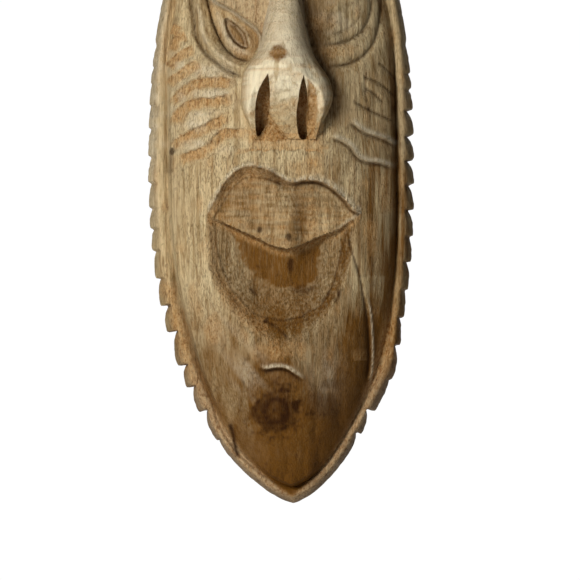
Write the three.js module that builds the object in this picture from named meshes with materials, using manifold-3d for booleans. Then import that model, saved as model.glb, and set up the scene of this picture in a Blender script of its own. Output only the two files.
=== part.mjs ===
// A carved wooden wall mask: one block of wood, hollowed behind, hung from a strap hanger with a swinging D-ring.
// Millimetres, +Z up. The face looks along -Y and the wall is the plane y = 0.
// The origin is the point of the wall plane that the wall hook comes out of.
// A place on the face is given as x, to the viewer's right of the nose, and h, the height above the chin's tip.
import * as THREE from "three";
import { mergeVertices } from "three/addons/utils/BufferGeometryUtils.js";
import Module from "manifold-3d";

const wasm = await Module();
wasm.setup();

const { clamp, lerp, smoothstep } = THREE.MathUtils;
const INCH = 25.4;

// Driving dimensions
const HEIGHT = 18 * INCH;
const HALF_WIDTH = 3.5 * INCH - 1;
const WIDEST_H = 223;
const HOOK_H = 372;
const RIM_DEPTH = 26;
const FACE_CROWN = 34;

// Outline: how fast each end closes in
const CHIN_CURVE = { power: 2.5, root: 0.7 };
const CROWN_CURVE = { power: 2.3, root: 0.6 };
const CHIN_LEAN = 3.5;

// Carved edge: each tooth's upper notch, as its height and how deep it bites
const TEETH_LEFT = [
  [301.5, 1], [288, 1], [277, 0.8], [262.5, 1.2], [247.5, 2], [228.5, 2.7], [211, 2.7], [194.5, 2.5], [180.5, 2.8],
  [166, 3], [147.5, 3.6], [129, 5.4], [111.5, 7], [89, 5.6], [75, 5.1], [58.5, 5.8], [40.5, 1.8],
];
const TEETH_RIGHT = [
  [302, 1], [284, 1.5], [273.5, 2.2], [259.5, 4.5], [242.5, 5], [226, 5], [210, 4.4], [193, 4.2], [175.5, 2.8],
  [158.5, 3], [140, 2.4], [121.5, 3.1], [103, 3.7], [80.5, 1.8], [59, 6.4], [44.5, 4],
];
const RIGHT_SWELL = { h: 86, reach: 24, out: 4 };
// A tooth's profile from its notch down to the next: places along it, and the share of the bite left there
const TOOTH = [
  { place: 0, bite: 1 },
  { place: 0.22, bite: 0.45 },
  { place: 0.55, bite: 0.05 },
  { place: 0.86, bite: 0 },
];
const TOP_STATIONS = 14;
const CHIN_STATIONS = 7;
const LAST_TOOTH = 12;
const PLAIN_STATIONS = 28;
const STATIONS = TOP_STATIONS + TOOTH.length * TEETH_LEFT.length + CHIN_STATIONS;

// The rim's cross-section, from the wall outwards and over into the face: inset from the outline, and depth
const EDGE_PROFILE = [
  { inset: 0, depth: 0, toothed: 1 },
  { inset: 0, depth: 8, toothed: 1 },
  { inset: 4.5, depth: RIM_DEPTH - 1.5, toothed: 0.15 },
  { inset: 7, depth: RIM_DEPTH, toothed: 0 },
  { inset: 9.4, depth: RIM_DEPTH - 2.5, toothed: 0 },
];
const GROOVE_INSET = 11.5;
const FACE_RINGS = [1, 0.97, 0.91, 0.82, 0.71, 0.58, 0.44, 0.3, 0.15, 0];

// Nose: sections down the bridge, wings, flat underside and the two nostrils, seen from the front
const BRIDGE = [
  { h: 352, x: 1.5, halfWidth: 8, depth: 52 },
  { h: 340, x: 1.5, halfWidth: 10.5, depth: 62 },
  { h: 312, x: 1, halfWidth: 14.5, depth: 75 },
  { h: 299, x: 1.5, halfWidth: 17, depth: 82 },
  { h: 284, x: 1.5, halfWidth: 20, depth: 88 },
  { h: 262, x: 2, halfWidth: 23, depth: 84 },
  { h: 239, x: 2, halfWidth: 22, depth: 72 },
];
const WINGS = [
  { x: -15.5, h: 264, rx: 12.5, rh: 26, depth: 50, rd: 31 },
  { x: 20, h: 264, rx: 13.5, rh: 26, depth: 50, rd: 31 },
];
const UNDERSIDE = { tipH: 283, tipDepth: 88, baseH: 239, baseDepth: 63 };
const NOSTRIL_DEPTH = 15;
const NOSTRILS = [
  [[-9.8, 279], [-14.3, 272], [-18.2, 254], [-17, 241], [-9.2, 241], [-8.5, 266]],
  [[12.6, 277], [10.6, 270], [8.2, 252], [10.8, 240], [15.2, 240], [15.6, 262]],
];

// Eyes: a drooping almond lid with a leaf-shaped slit, ringed by a groove; then the socket and the brow
const SOCKET = { x: 27, h: 322, rx: 30, rh: 34, depth: 10 };
const LID = [
  [-51, 338], [-49, 326], [-46, 316], [-42, 306], [-38, 298], [-32, 293], [-27, 291], [-21, 290], [-16, 294],
  [-14.5, 303], [-17, 309], [-24, 315], [-34, 322], [-45, 328],
];
const SLIT = [[-38, 318.5], [-37, 311], [-33, 303], [-27.5, 297.5], [-23, 297.5], [-26, 307], [-31, 313]];
const ORBIT = [[-53, 352], [-60.5, 329], [-57.5, 309.5], [-51.5, 296.5], [-37, 284], [-25.5, 279.5]];
const EYE_RIGHT_SHIFT = 8;
const EYE = { lidRaised: 3, slitDepth: 4.5, orbitWidth: 5, orbitDepth: 3 };
const BROW = { line: [[9, 356], [22, 371], [42, 375], [58, 363], [68, 345]], width: 9, raised: 5 };

// Mouth: a two-peaked upper lip over a scooped hollow, as lines across the face
const LIP_TOP = [
  [-49.5, 189.4], [-44, 200], [-38, 211], [-29, 219], [-20, 221], [-9, 218.5], [0.5, 213], [7, 211], [13.5, 212],
  [23, 211.5], [32, 207], [40, 200], [45, 194], [51, 190.7],
];
const LIP_EDGE = [
  [-49.5, 189.2], [-37, 183.6], [-27.5, 179], [-16, 174], [-6.5, 169.5], [3.7, 167.5], [13.5, 170.6], [23, 175],
  [34, 179], [41, 183.6], [51, 190.5],
];
const SCOOP_FOOT = [
  [-49.5, 189], [-47, 166], [-44, 150], [-37, 137], [-28, 126], [-18, 118.5], [-7, 115], [6, 115], [17, 119],
  [27, 127], [35, 139], [41, 153], [45, 170], [51, 190.3],
];
const LIP_DEPTH = { groove: 6.5, edge: -2.5, tubercle: 5 };
const SCOOP_DEPTH = { underLip: 17, foot: 1 };
const MOUTH_FLOOR = 31;
const MOUTH_COLUMNS = 20;

// Chin
const CHIN = { h: 70, rx: 34, rh: 30, height: 7 };
const CHIN_LEDGE = { line: [[-17, 91], [-8, 89.5], [2, 88], [11.5, 84], [17.5, 80.5]], width: 5, depth: 3 };

// Grooves cut in the cheeks, each wider at its middle
const CHEEK_GROOVES = [
  { line: [[-73, 298], [-69.5, 304], [-63, 307.5]], width: 5 },
  { line: [[-73.5, 289], [-70, 294.5], [-64, 297], [-56, 299]], width: 5 },
  { line: [[-68, 279.5], [-61, 285], [-52, 288]], width: 6 },
  { line: [[-65, 266.5], [-61, 273], [-53.5, 276.5], [-44, 277.5], [-33, 277]], width: 7 },
  { line: [[-62.5, 258], [-53.5, 262], [-44, 264.5], [-35, 266]], width: 7 },
  { line: [[-65, 240.5], [-53.5, 246], [-44, 250], [-34.5, 253.5]], width: 7 },
  { line: [[-50, 233], [-42, 240.5], [-31, 244], [-21, 244]], width: 7 },
  { line: [[62, 289], [67.5, 285.5], [73, 279.5]], width: 4 },
  { line: [[52, 279.5], [60, 277], [66.5, 273], [72.5, 267.5]], width: 4 },
  { line: [[45, 264], [52, 260], [58, 257], [66, 253.5], [72, 251]], width: 5 },
  { line: [[43, 250], [49, 245], [54, 242], [61, 240], [73, 234.5]], width: 5 },
  { line: [[29.5, 239.5], [37.5, 237], [43.5, 233], [50.5, 225], [63.5, 222.5], [73, 219.5]], width: 5 },
  { line: [[42, 178.5], [46.5, 160], [51.5, 137.5], [55.5, 108], [55.5, 92], [54.5, 79]], width: 5 },
];
const GROOVE_DEPTH = 2.2;

// Hollow behind, and the hanger's seat
const HOLLOW = { h: 180, halfWidth: 66, halfHeight: 144, depth: 34, square: 2.6 };
const STRAP_SEAT = { width: 26, depth: 7 };
const HOOK_WELL = { width: 30, height: 34, depth: 14 };

// Hanger
const WIRE_R = 1.25;
const RING = { halfWidth: 9.5, archH: 17 };
const STRAP = { width: 13, thick: 1.2, length: 36 };
const PIVOT_LIFT = 3.2;
const CURL_GAP = 0.25;
const SCREW = { shankR: 1.75, headR: 3.4, headHeight: 1.7, length: 16, recess: 1.1 };
const SCREW_DROPS = [10.5, 27];
const GAP = 0.3;

const PIVOT_H = HOOK_H - RING.archH + WIRE_R;
const SEAT_Y = -STRAP_SEAT.depth;
const PIVOT_Y = SEAT_Y + PIVOT_LIFT;

const WOOD = { color: 0xc2a173, roughness: 0.62, metalness: 0 };
const PLATED_STEEL = { color: 0xb9bcc0, roughness: 0.35, metalness: 1 };
const BRASSED_STEEL = { color: 0xb08d4f, roughness: 0.35, metalness: 1 };

const bump = (ex, eh) => Math.exp(-(ex * ex + eh * eh));

// ---- Outline -------------------------------------------------------------------------------------------------

function halfWidth(h) {
  const below = h < WIDEST_H;
  const away = below ? (WIDEST_H - h) / WIDEST_H : (h - WIDEST_H) / (HEIGHT - WIDEST_H);
  const { power, root } = below ? CHIN_CURVE : CROWN_CURVE;
  return HALF_WIDTH * (1 - clamp(away, 0, 1) ** power) ** root;
}

// Hand carving leans the chin a little to the viewer's right
const lean = (h) => -1.5 + (CHIN_LEAN + 1.5) * (1 - clamp(h / WIDEST_H, 0, 1)) ** 1.5;

// The outline's x on one side
function edgeX(side, h) {
  const swell = side > 0 ? RIGHT_SWELL.out * bump((h - RIGHT_SWELL.h) / RIGHT_SWELL.reach, 0) : 0;
  return lean(h) + side * halfWidth(h) + swell;
}

// One side's edge from the crown to the chin: a height, and how deep it is bitten there
function edgeStations(teeth) {
  const stations = [];
  const top = STATIONS - TOOTH.length * teeth.length - CHIN_STATIONS;
  for (let i = 0; i < top; i++) {
    // Closer together towards the crown, where the outline turns
    const t = (i / top) ** 1.6;
    stations.push({ h: lerp(HEIGHT, teeth[0][0] + 6, t), bite: 0 });
  }
  teeth.forEach(([notchH, depth], k) => {
    const next = k + 1 < teeth.length ? teeth[k + 1][0] : notchH - LAST_TOOTH;
    for (const { place, bite } of TOOTH) stations.push({ h: lerp(notchH, next, place), bite: bite * depth });
  });
  const chinH = teeth[teeth.length - 1][0] - LAST_TOOTH;
  for (let i = 0; i <= CHIN_STATIONS; i++) {
    const t = 1 - (1 - i / CHIN_STATIONS) ** 1.7;
    stations.push({ h: lerp(chinH, 0, t), bite: 0 });
  }
  return stations;
}

// ---- Relief: how far the plain face stands off the wall ----------------------------------------------------------

function crown(h) {
  if (h < WIDEST_H) return FACE_CROWN * (1 - clamp((WIDEST_H - h) / WIDEST_H, 0, 1) ** 2.6) ** 0.8;
  return FACE_CROWN * (1 - clamp((h - WIDEST_H) / (HEIGHT - WIDEST_H), 0, 1) ** 3) ** 0.7;
}

function relief(x, h) {
  const reach = Math.max(halfWidth(h) - GROOVE_INSET, 1);
  const u = clamp(Math.abs(x - lean(h)) / reach, 0, 1);
  const dome = RIM_DEPTH - 5 + (crown(h) + 5) * (1 - u ** 2.4) ** 0.5;
  const sockets = SOCKET.depth * bump((Math.abs(x) - SOCKET.x) / SOCKET.rx, (h - SOCKET.h) / SOCKET.rh);
  const chin = CHIN.height * bump((x - lean(h)) / CHIN.rx, (h - CHIN.h) / CHIN.rh);
  return dome - sockets + chin;
}

// ---- Solids --------------------------------------------------------------------------------------------------

const at = (x, depth, h) => new THREE.Vector3(x, -depth, h - HOOK_H);

function solidFrom(geometry) {
  const bare = geometry.clone();
  bare.deleteAttribute("normal");
  bare.deleteAttribute("uv");
  const merged = mergeVertices(bare, 1e-3);
  return new wasm.Manifold(
    new wasm.Mesh({
      numProp: 3,
      vertProperties: merged.attributes.position.array,
      triVerts: new Uint32Array(merged.index.array),
    }),
  );
}

function geometryFrom(solid) {
  const { numProp, numVert, vertProperties, triVerts } = solid.getMesh();
  const places = new Float32Array(numVert * 3);
  for (let i = 0; i < numVert; i++) places.set(vertProperties.subarray(i * numProp, i * numProp + 3), i * 3);
  return new THREE.BufferGeometry()
    .setAttribute("position", new THREE.BufferAttribute(places, 3))
    .setIndex(new THREE.BufferAttribute(triVerts, 1));
}

// Cuts that graze a surface leave slivers and crumbs behind
const SLIVER = 0.05;
const tidied = (solid) => solid.simplify(SLIVER).decompose().sort((a, b) => b.volume() - a.volume())[0];

const boxSolid = (x, y, z, cx, cy, cz) => solidFrom(new THREE.BoxGeometry(x, y, z).translate(cx, cy, cz));

// A round bar along Y, from y0 to y1, on the axis x = 0 at height z
function barAlongY(radius, y0, y1, z, sides = 20) {
  const bar = new THREE.CylinderGeometry(radius, radius, Math.abs(y1 - y0), sides);
  return solidFrom(bar.translate(0, (y0 + y1) / 2, z));
}

// A solid skinned over rings of points, each ring closed on itself and the ends flat
function skin(rings) {
  const places = [];
  const push = (...points) => {
    for (const p of points) places.push(p.x, p.y, p.z);
  };
  const count = rings[0].length;
  for (let r = 0; r + 1 < rings.length; r++)
    for (let k = 0; k < count; k++) {
      const next = (k + 1) % count;
      const [a, b, c, d] = [rings[r][k], rings[r + 1][k], rings[r + 1][next], rings[r][next]];
      push(a, b, c, a, c, d);
    }
  const geometry = new THREE.BufferGeometry();
  geometry.setAttribute("position", new THREE.BufferAttribute(new Float32Array(places), 3));
  return solidFrom(geometry);
}

// Spokes run from the face's middle line out to its edge, through each side's stations
function spokesThrough(right, left) {
  const last = right.length - 1;
  return Array.from({ length: 2 * last }, (_, k) => {
    const onRight = k <= last;
    const i = onRight ? k : 2 * last - k;
    const { h, bite } = onRight ? right[i] : left[i];
    const middleH = (right[i].h + left[i].h) / 2;
    const side = i === 0 || i === last ? 0 : onRight ? 1 : -1;
    const edge = new THREE.Vector2(side ? edgeX(side, h) : lean(h), h);
    const root = new THREE.Vector2(lean(middleH), lerp(WIDEST_H, middleH, 0.74));
    return { edge, root, bite, length: edge.distanceTo(root) };
  });
}

// Heights evenly turned about the face, for the parts that have no teeth
const plainStations = Array.from({ length: PLAIN_STATIONS + 1 }, (_, i) => {
  return { h: (HEIGHT * (1 + Math.cos((Math.PI * i) / PLAIN_STATIONS))) / 2, bite: 0 };
});

const RIM_SPOKES = spokesThrough(edgeStations(TEETH_RIGHT), edgeStations(TEETH_LEFT));
const FACE_SPOKES = spokesThrough(plainStations, plainStations);

function spokeRing(spokes, share, depthAt) {
  return spokes.map((spoke) => {
    const p = spoke.root.clone().lerp(spoke.edge, share(spoke));
    return at(p.x, depthAt(p.x, p.y), p.y);
  });
}

// The toothed rim and the slab inside it
function rimSlab() {
  const slabDepth = RIM_DEPTH - 6;
  const back = spokeRing(RIM_SPOKES, () => 0, () => 0);
  const rim = EDGE_PROFILE.map(({ inset, depth, toothed }) =>
    spokeRing(RIM_SPOKES, ({ bite, length }) => 1 - (inset + bite * toothed) / length, () => depth));
  const groove = spokeRing(RIM_SPOKES, ({ length }) => 1 - GROOVE_INSET / length, () => slabDepth);
  const middle = spokeRing(RIM_SPOKES, () => 0, () => slabDepth);
  return skin([back, ...rim, groove, middle]);
}

// The face with its surface moved out by a distance, from just off the wall
function faceMovedOut(distance) {
  const share = (ring) => ({ length }) => ring * (1 - (GROOVE_INSET - 0.5) / length);
  const foot = [0, 1].map((ring) => spokeRing(FACE_SPOKES, share(ring), () => 2));
  const surface = (x, h) => relief(x, h) + distance;
  return skin([...foot, ...FACE_RINGS.map((ring) => spokeRing(FACE_SPOKES, share(ring), surface))]);
}

// A front view's outline, pushed through from one depth to another
function prism(outline, fromDepth = 12, toDepth = 120) {
  const shape = new THREE.Shape(outline.map(([x, h]) => new THREE.Vector2(x, h - HOOK_H)));
  const geometry = new THREE.ExtrudeGeometry(shape, { depth: toDepth - fromDepth, bevelEnabled: false });
  return solidFrom(geometry.rotateX(Math.PI / 2).translate(0, -fromDepth, 0));
}

// The outline of a stroke along a line, wide in the middle and pointed at its ends
function stroke({ line, width }) {
  const curve = new THREE.CatmullRomCurve3(line.map(([x, h]) => new THREE.Vector3(x, h, 0)));
  const steps = 6;
  const sides = [[], []];
  for (let i = 1; i < steps; i++) {
    const here = curve.getPointAt(i / steps);
    const along = curve.getTangentAt(i / steps);
    const half = (width / 2) * Math.sin((Math.PI * i) / steps) ** 0.6;
    sides[0].push([here.x - along.y * half, here.y + along.x * half]);
    sides[1].unshift([here.x + along.y * half, here.y - along.x * half]);
  }
  return [line[0], ...sides[1].reverse(), line[line.length - 1], ...sides[0].reverse()];
}

const carve = (solid, outline, depth) => solid.subtract(prism(outline).subtract(faceMovedOut(-depth)));
const raise = (solid, outline, height) => solid.add(prism(outline).intersect(faceMovedOut(height)));

const mirrored = (outline, shift) => outline.map(([x, h]) => [shift - x, h]).reverse();

function withEyes(solid) {
  let carved = solid;
  for (const turned of [(line) => line, (line) => mirrored(line, EYE_RIGHT_SHIFT)]) {
    carved = carve(carved, stroke({ line: turned(ORBIT), width: EYE.orbitWidth }), EYE.orbitDepth);
    carved = raise(carved, turned(LID), EYE.lidRaised);
    carved = carve(carved, turned(SLIT), EYE.slitDepth);
  }
  for (const side of [-1, 1]) {
    const line = BROW.line.map(([x, h]) => [side * x, h]);
    carved = raise(carved, stroke({ line, width: BROW.width }), BROW.raised);
  }
  return carved;
}

// ---- Nose ----------------------------------------------------------------------------------------------------

function nose() {
  const foot = 30;
  const arcSteps = 10;
  const section = ({ h, x, halfWidth: w, depth }) => {
    const points = Array.from({ length: arcSteps + 1 }, (_, i) => {
      const a = (i / arcSteps) * Math.PI;
      return at(x + w * Math.cos(a), foot + 12 + (depth - foot - 12) * Math.sin(a) ** 0.8, h);
    });
    return [...points, at(x - w, foot, h), at(x + w, foot, h)];
  };
  const middle = ({ h, x }) => section({ h, x, halfWidth: 0, depth: foot + 12 }).map(() => at(x, foot + 6, h));
  const sections = BRIDGE.map(section);
  const bridge = skin([middle(BRIDGE[BRIDGE.length - 1]), ...sections.reverse(), middle(BRIDGE[0])]);
  const wings = WINGS.map(({ x, h, rx, rh, depth, rd }) => {
    const ball = new THREE.SphereGeometry(1, 16, 12).scale(rx, rd, rh);
    return solidFrom(ball.translate(x, -depth, h - HOOK_H));
  });
  const under = underside(0);
  const slots = prism(NOSTRILS[0]).add(prism(NOSTRILS[1])).subtract(underside(NOSTRIL_DEPTH));
  return bridge.add(wings[0]).add(wings[1]).intersect(under).subtract(slots);
}

// Everything behind the nose's flat underside, or behind a plane deeper in the wood
function underside(inward) {
  const { tipH, tipDepth, baseH, baseDepth } = UNDERSIDE;
  const slope = (tipDepth - baseDepth) / (tipH - baseH);
  const reach = 60;
  const side = new THREE.Shape([
    new THREE.Vector2(0, baseH - HOOK_H),
    new THREE.Vector2(baseDepth - inward, baseH - HOOK_H),
    new THREE.Vector2(tipDepth - inward + 10 * slope, tipH + 10 - HOOK_H),
    new THREE.Vector2(140, tipH + 40 - HOOK_H),
    new THREE.Vector2(140, tipH + 120 - HOOK_H),
    new THREE.Vector2(0, tipH + 120 - HOOK_H),
  ]);
  const slab = new THREE.ExtrudeGeometry(side, { depth: 2 * reach, bevelEnabled: false });
  slab.applyMatrix4(new THREE.Matrix4().set(0, 0, -1, reach, -1, 0, 0, 0, 0, 1, 0, 0, 0, 0, 0, 1));
  return solidFrom(slab);
}

// ---- Mouth ---------------------------------------------------------------------------------------------------

// The height of a line across the face at x
function heightAt(line, x) {
  const i = clamp(line.findIndex(([px]) => px > x), 1, line.length - 1);
  const [[x0, h0], [x1, h1]] = [line[i - 1], line[i]];
  return lerp(h0, h1, clamp((x - x0) / (x1 - x0), 0, 1));
}

const lipTop = (x) => heightAt(LIP_TOP, x);
const lipEdge = (x) => heightAt(LIP_EDGE, x);
const scoopFoot = (x) => heightAt(SCOOP_FOOT, x);

function lipDepth(x, up) {
  const swell = LIP_DEPTH.tubercle * bump((x - 5) / 9, (up - 0.25) / 0.4);
  return -lerp(LIP_DEPTH.edge, LIP_DEPTH.groove, up ** 1.3) + swell;
}

function scoopDepth(x, up) {
  const room = (lipEdge(x) - scoopFoot(x)) / (lipEdge(5) - scoopFoot(5));
  return -lerp(SCOOP_DEPTH.foot, SCOOP_DEPTH.underLip, smoothstep(up, 0, 0.85)) * Math.min(1, 1.6 * room);
}

function mouthColumns(inward) {
  const [low, high] = [LIP_TOP[0][0] + inward, LIP_TOP[LIP_TOP.length - 1][0] - inward];
  return Array.from({ length: MOUTH_COLUMNS + 1 }, (_, i) => {
    return lerp(low, high, (1 + Math.sin((i / MOUTH_COLUMNS - 0.5) * Math.PI)) / 2);
  });
}

// A patch between two curves of x, standing on the mouth's floor
function patch(bottom, top, rows, depthBelowFace) {
  const rings = mouthColumns(0.4).map((x) => {
    const points = [at(x, MOUTH_FLOOR, top(x)), at(x, MOUTH_FLOOR, bottom(x))];
    for (let j = 0; j <= rows; j++) {
      const h = lerp(bottom(x), top(x), j / rows);
      points.push(at(x, relief(x, h) + depthBelowFace(x, j / rows), h));
    }
    return points;
  });
  const middle = (ring) => ring.reduce((sum, p) => sum.add(p), new THREE.Vector3()).divideScalar(ring.length);
  const closed = (ring) => ring.map(() => middle(ring));
  return skin([closed(rings[0]), ...rings, closed(rings[rings.length - 1])]);
}

// The patches run a little past the cut they fill, so that no two walls coincide
function withMouth(solid) {
  const lap = 0.05;
  const columns = mouthColumns(1);
  const outline = [
    ...columns.map((x) => [x, scoopFoot(x) + lap]),
    ...columns.reverse().map((x) => [x, lipTop(x) - lap]),
  ];
  const lips = patch(lipEdge, lipTop, 6, lipDepth);
  const scoop = patch(scoopFoot, (x) => lipEdge(x) + 0.3, 7, scoopDepth);
  return solid.subtract(prism(outline, MOUTH_FLOOR + 1)).add(lips).add(scoop);
}

// The bowl cut out of the back: a squared ellipsoid
function hollow() {
  const profile = [];
  const steps = 10;
  for (let i = 0; i <= steps; i++) {
    const a = (i / steps) * Math.PI - Math.PI / 2;
    const power = 2 / HOLLOW.square;
    profile.push(new THREE.Vector2(Math.max(0, Math.cos(a)) ** power, Math.sign(Math.sin(a)) * Math.abs(Math.sin(a)) ** power));
  }
  profile[0].x = profile[steps].x = 0;
  const bowl = new THREE.LatheGeometry(profile, 36).scale(HOLLOW.halfWidth, HOLLOW.depth, HOLLOW.halfHeight);
  return solidFrom(bowl.translate(0, 0, HOLLOW.h - HOOK_H));
}

const strapFootZ = PIVOT_H - STRAP.length - HOOK_H;
const pivotZ = PIVOT_H - HOOK_H;

function hangerSeat() {
  const over = 1;
  const seatTop = pivotZ + 6;
  const seatFoot = strapFootZ - 3;
  const seat = boxSolid(
    STRAP_SEAT.width, STRAP_SEAT.depth + over, seatTop - seatFoot,
    0, (over - STRAP_SEAT.depth) / 2, (seatTop + seatFoot) / 2,
  );
  const well = boxSolid(
    HOOK_WELL.width, HOOK_WELL.depth + over, HOOK_WELL.height,
    0, (over - HOOK_WELL.depth) / 2, pivotZ + HOOK_WELL.height / 2 - 4,
  );
  return seat.add(well);
}

function screwHoles(radius) {
  const holes = SCREW_DROPS.map((drop) => barAlongY(radius, SEAT_Y - SCREW.length - 1, 1, pivotZ - drop));
  return holes[0].add(holes[1]);
}

function maskCarving() {
  let block = withMouth(withEyes(rimSlab().add(faceMovedOut(0))));
  for (const groove of CHEEK_GROOVES) block = carve(block, stroke(groove), GROOVE_DEPTH);
  block = carve(block, stroke(CHIN_LEDGE), CHIN_LEDGE.depth);
  block = block.add(nose());
  block = block.subtract(hollow()).subtract(hangerSeat()).subtract(screwHoles(SCREW.shankR + GAP));
  return tidied(block);
}

// A strip of steel bent round the ring's straight bar and laid flat on the wood
function hangerStrap() {
  const inner = WIRE_R + CURL_GAP;
  const outer = inner + STRAP.thick;
  const leafY = SEAT_Y + GAP;
  const pivot = new THREE.Vector2(PIVOT_Y, pivotZ);
  const side = new THREE.Shape();
  side.moveTo(leafY, strapFootZ);
  side.lineTo(leafY, pivot.y);
  side.absarc(pivot.x, pivot.y, pivot.x - leafY, Math.PI, -0.35 * Math.PI, true);
  const lip = new THREE.Vector2(Math.cos(-0.35 * Math.PI), Math.sin(-0.35 * Math.PI));
  side.lineTo(pivot.x + inner * lip.x, pivot.y + inner * lip.y);
  side.absarc(pivot.x, pivot.y, inner, -0.35 * Math.PI, Math.PI, false);
  side.lineTo(leafY + outer - inner, strapFootZ);
  side.closePath();
  const strip = new THREE.ExtrudeGeometry(side, { depth: STRAP.width, bevelEnabled: false, curveSegments: 14 });
  // The drawing's own axes are Y and Z, so its extrusion is turned to run along X
  strip.applyMatrix4(new THREE.Matrix4().set(0, 0, 1, -STRAP.width / 2, 1, 0, 0, 0, 0, 1, 0, 0, 0, 0, 0, 1));
  const foot = new THREE.CylinderGeometry(STRAP.width / 2, STRAP.width / 2, 40, 40);
  const round = solidFrom(foot.translate(0, 0, strapFootZ + STRAP.width / 2));
  const body = boxSolid(STRAP.width + 2, 40, STRAP.length + 20, 0, 0, strapFootZ + STRAP.width / 2 + STRAP.length / 2 + 10);
  return solidFrom(strip).intersect(round.add(body)).subtract(screwHoles(SCREW.shankR + GAP));
}

// The D-shaped ring: a straight bar held by the strap, and an arch above it
function hangerRing() {
  const corner = 3;
  const [w, top] = [RING.halfWidth, RING.archH];
  const path = new THREE.CurvePath();
  const v = (x, z) => new THREE.Vector3(x, PIVOT_Y, pivotZ + z);
  path.add(new THREE.LineCurve3(v(-w + corner, 0), v(w - corner, 0)));
  path.add(new THREE.QuadraticBezierCurve3(v(w - corner, 0), v(w, 0), v(w, corner)));
  path.add(new THREE.CubicBezierCurve3(v(w, corner), v(w, top * 0.75), v(w * 0.55, top), v(0, top)));
  path.add(new THREE.CubicBezierCurve3(v(0, top), v(-w * 0.55, top), v(-w, top * 0.75), v(-w, corner)));
  path.add(new THREE.QuadraticBezierCurve3(v(-w, corner), v(-w, 0), v(-w + corner, 0)));
  const points = path.getSpacedPoints(40).slice(0, -1);
  const sides = 10;
  const count = points.length;
  const sectionAt = (i) => {
    const along = points[(i + 1) % count].clone().sub(points[(i + count - 1) % count]).normalize();
    const outward = new THREE.Vector3(0, 1, 0).cross(along);
    return Array.from({ length: sides }, (_, k) => {
      const a = (k / sides) * 2 * Math.PI;
      const rise = new THREE.Vector3(0, WIRE_R * Math.sin(a), 0);
      return points[i % count].clone().addScaledVector(outward, WIRE_R * Math.cos(a)).add(rise);
    });
  };
  return skin(Array.from({ length: count + 1 }, (_, i) => sectionAt(i)).reverse());
}

// A pan-head wood screw, its head on the strap and its point in the wood
function hangerScrew(drop) {
  const { shankR, headR, headHeight, length, recess } = SCREW;
  const coreR = shankR;
  const profile = [
    [0, -length], [coreR * 0.35, -length + 2], [coreR, -length + 5], [coreR, 0], [headR, 0],
    [headR, headHeight * 0.45], [headR * 0.8, headHeight * 0.85], [headR * 0.4, headHeight], [0, headHeight],
  ].map(([r, y]) => new THREE.Vector2(r, y));
  const body = solidFrom(new THREE.LatheGeometry(profile, 20));
  const slot = boxSolid(headR * 1.1, recess * 2, 0.9, 0, headHeight, 0);
  const cross = boxSolid(0.9, recess * 2, headR * 1.1, 0, headHeight, 0);
  const seatedY = SEAT_Y + GAP + STRAP.thick + GAP;
  return body.subtract(slot.add(cross)).translate([0, seatedY, pivotZ - drop]);
}

// ---- Assembly ------------------------------------------------------------------------------------------------

function piece(name, solid, look) {
  const mesh = new THREE.Mesh(geometryFrom(solid), new THREE.MeshStandardMaterial(look));
  mesh.name = name;
  return mesh;
}

const mask = new THREE.Group();
mask.add(piece("mask_carving", maskCarving(), WOOD));
mask.add(piece("hanger_strap", hangerStrap(), BRASSED_STEEL));
mask.add(piece("hanger_ring", hangerRing(), BRASSED_STEEL));
mask.add(piece("hanger_screw_upper", hangerScrew(SCREW_DROPS[0]), PLATED_STEEL));
mask.add(piece("hanger_screw_lower", hangerScrew(SCREW_DROPS[1]), PLATED_STEEL));

export default mask;
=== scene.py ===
"""A carved wooden wall mask with its strap hanger: fine geometry, materials, light and camera.

Lengths are millimetres inside this script and metres in Blender. A place on the face is x, to the viewer's
right, and h, its height above the chin's tip; depth is how far it stands off the wall.
"""

import itertools
import math

import bmesh
import bpy
import numpy as np
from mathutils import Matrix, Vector


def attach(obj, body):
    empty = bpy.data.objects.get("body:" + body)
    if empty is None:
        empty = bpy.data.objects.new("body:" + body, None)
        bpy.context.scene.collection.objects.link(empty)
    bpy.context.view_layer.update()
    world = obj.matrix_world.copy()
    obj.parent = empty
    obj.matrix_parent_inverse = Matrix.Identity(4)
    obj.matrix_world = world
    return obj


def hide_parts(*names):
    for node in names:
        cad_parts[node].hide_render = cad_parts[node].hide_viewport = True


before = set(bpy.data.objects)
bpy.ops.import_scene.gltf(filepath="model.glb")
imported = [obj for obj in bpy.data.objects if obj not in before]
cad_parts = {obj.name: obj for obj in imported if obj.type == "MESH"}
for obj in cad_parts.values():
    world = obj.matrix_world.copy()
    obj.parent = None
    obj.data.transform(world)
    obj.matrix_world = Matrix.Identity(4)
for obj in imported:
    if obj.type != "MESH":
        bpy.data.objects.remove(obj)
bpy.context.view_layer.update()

MM = 0.001
INCH = 25.4

# The block, as in the solid model
HEIGHT = 18 * INCH
HALF_WIDTH = 3.5 * INCH - 1
WIDEST_H = 223
HOOK_H = 372
RIM_DEPTH = 26
FACE_CROWN = 34
CHIN_POWER, CHIN_ROOT = 2.5, 0.7
CROWN_POWER, CROWN_ROOT = 2.3, 0.6
MIDDLE_SHARE = 0.74  # how far up and down the middle line of the face runs
# The middle line's place at the widest height, and how far it leans right towards the chin and at its tip
MIDDLE_X = -1.5
CHIN_LEAN, TIP_LEAN, TIP_TOP_H = 5, 2.8, 50
LEAN_POWER = 1.5

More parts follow.
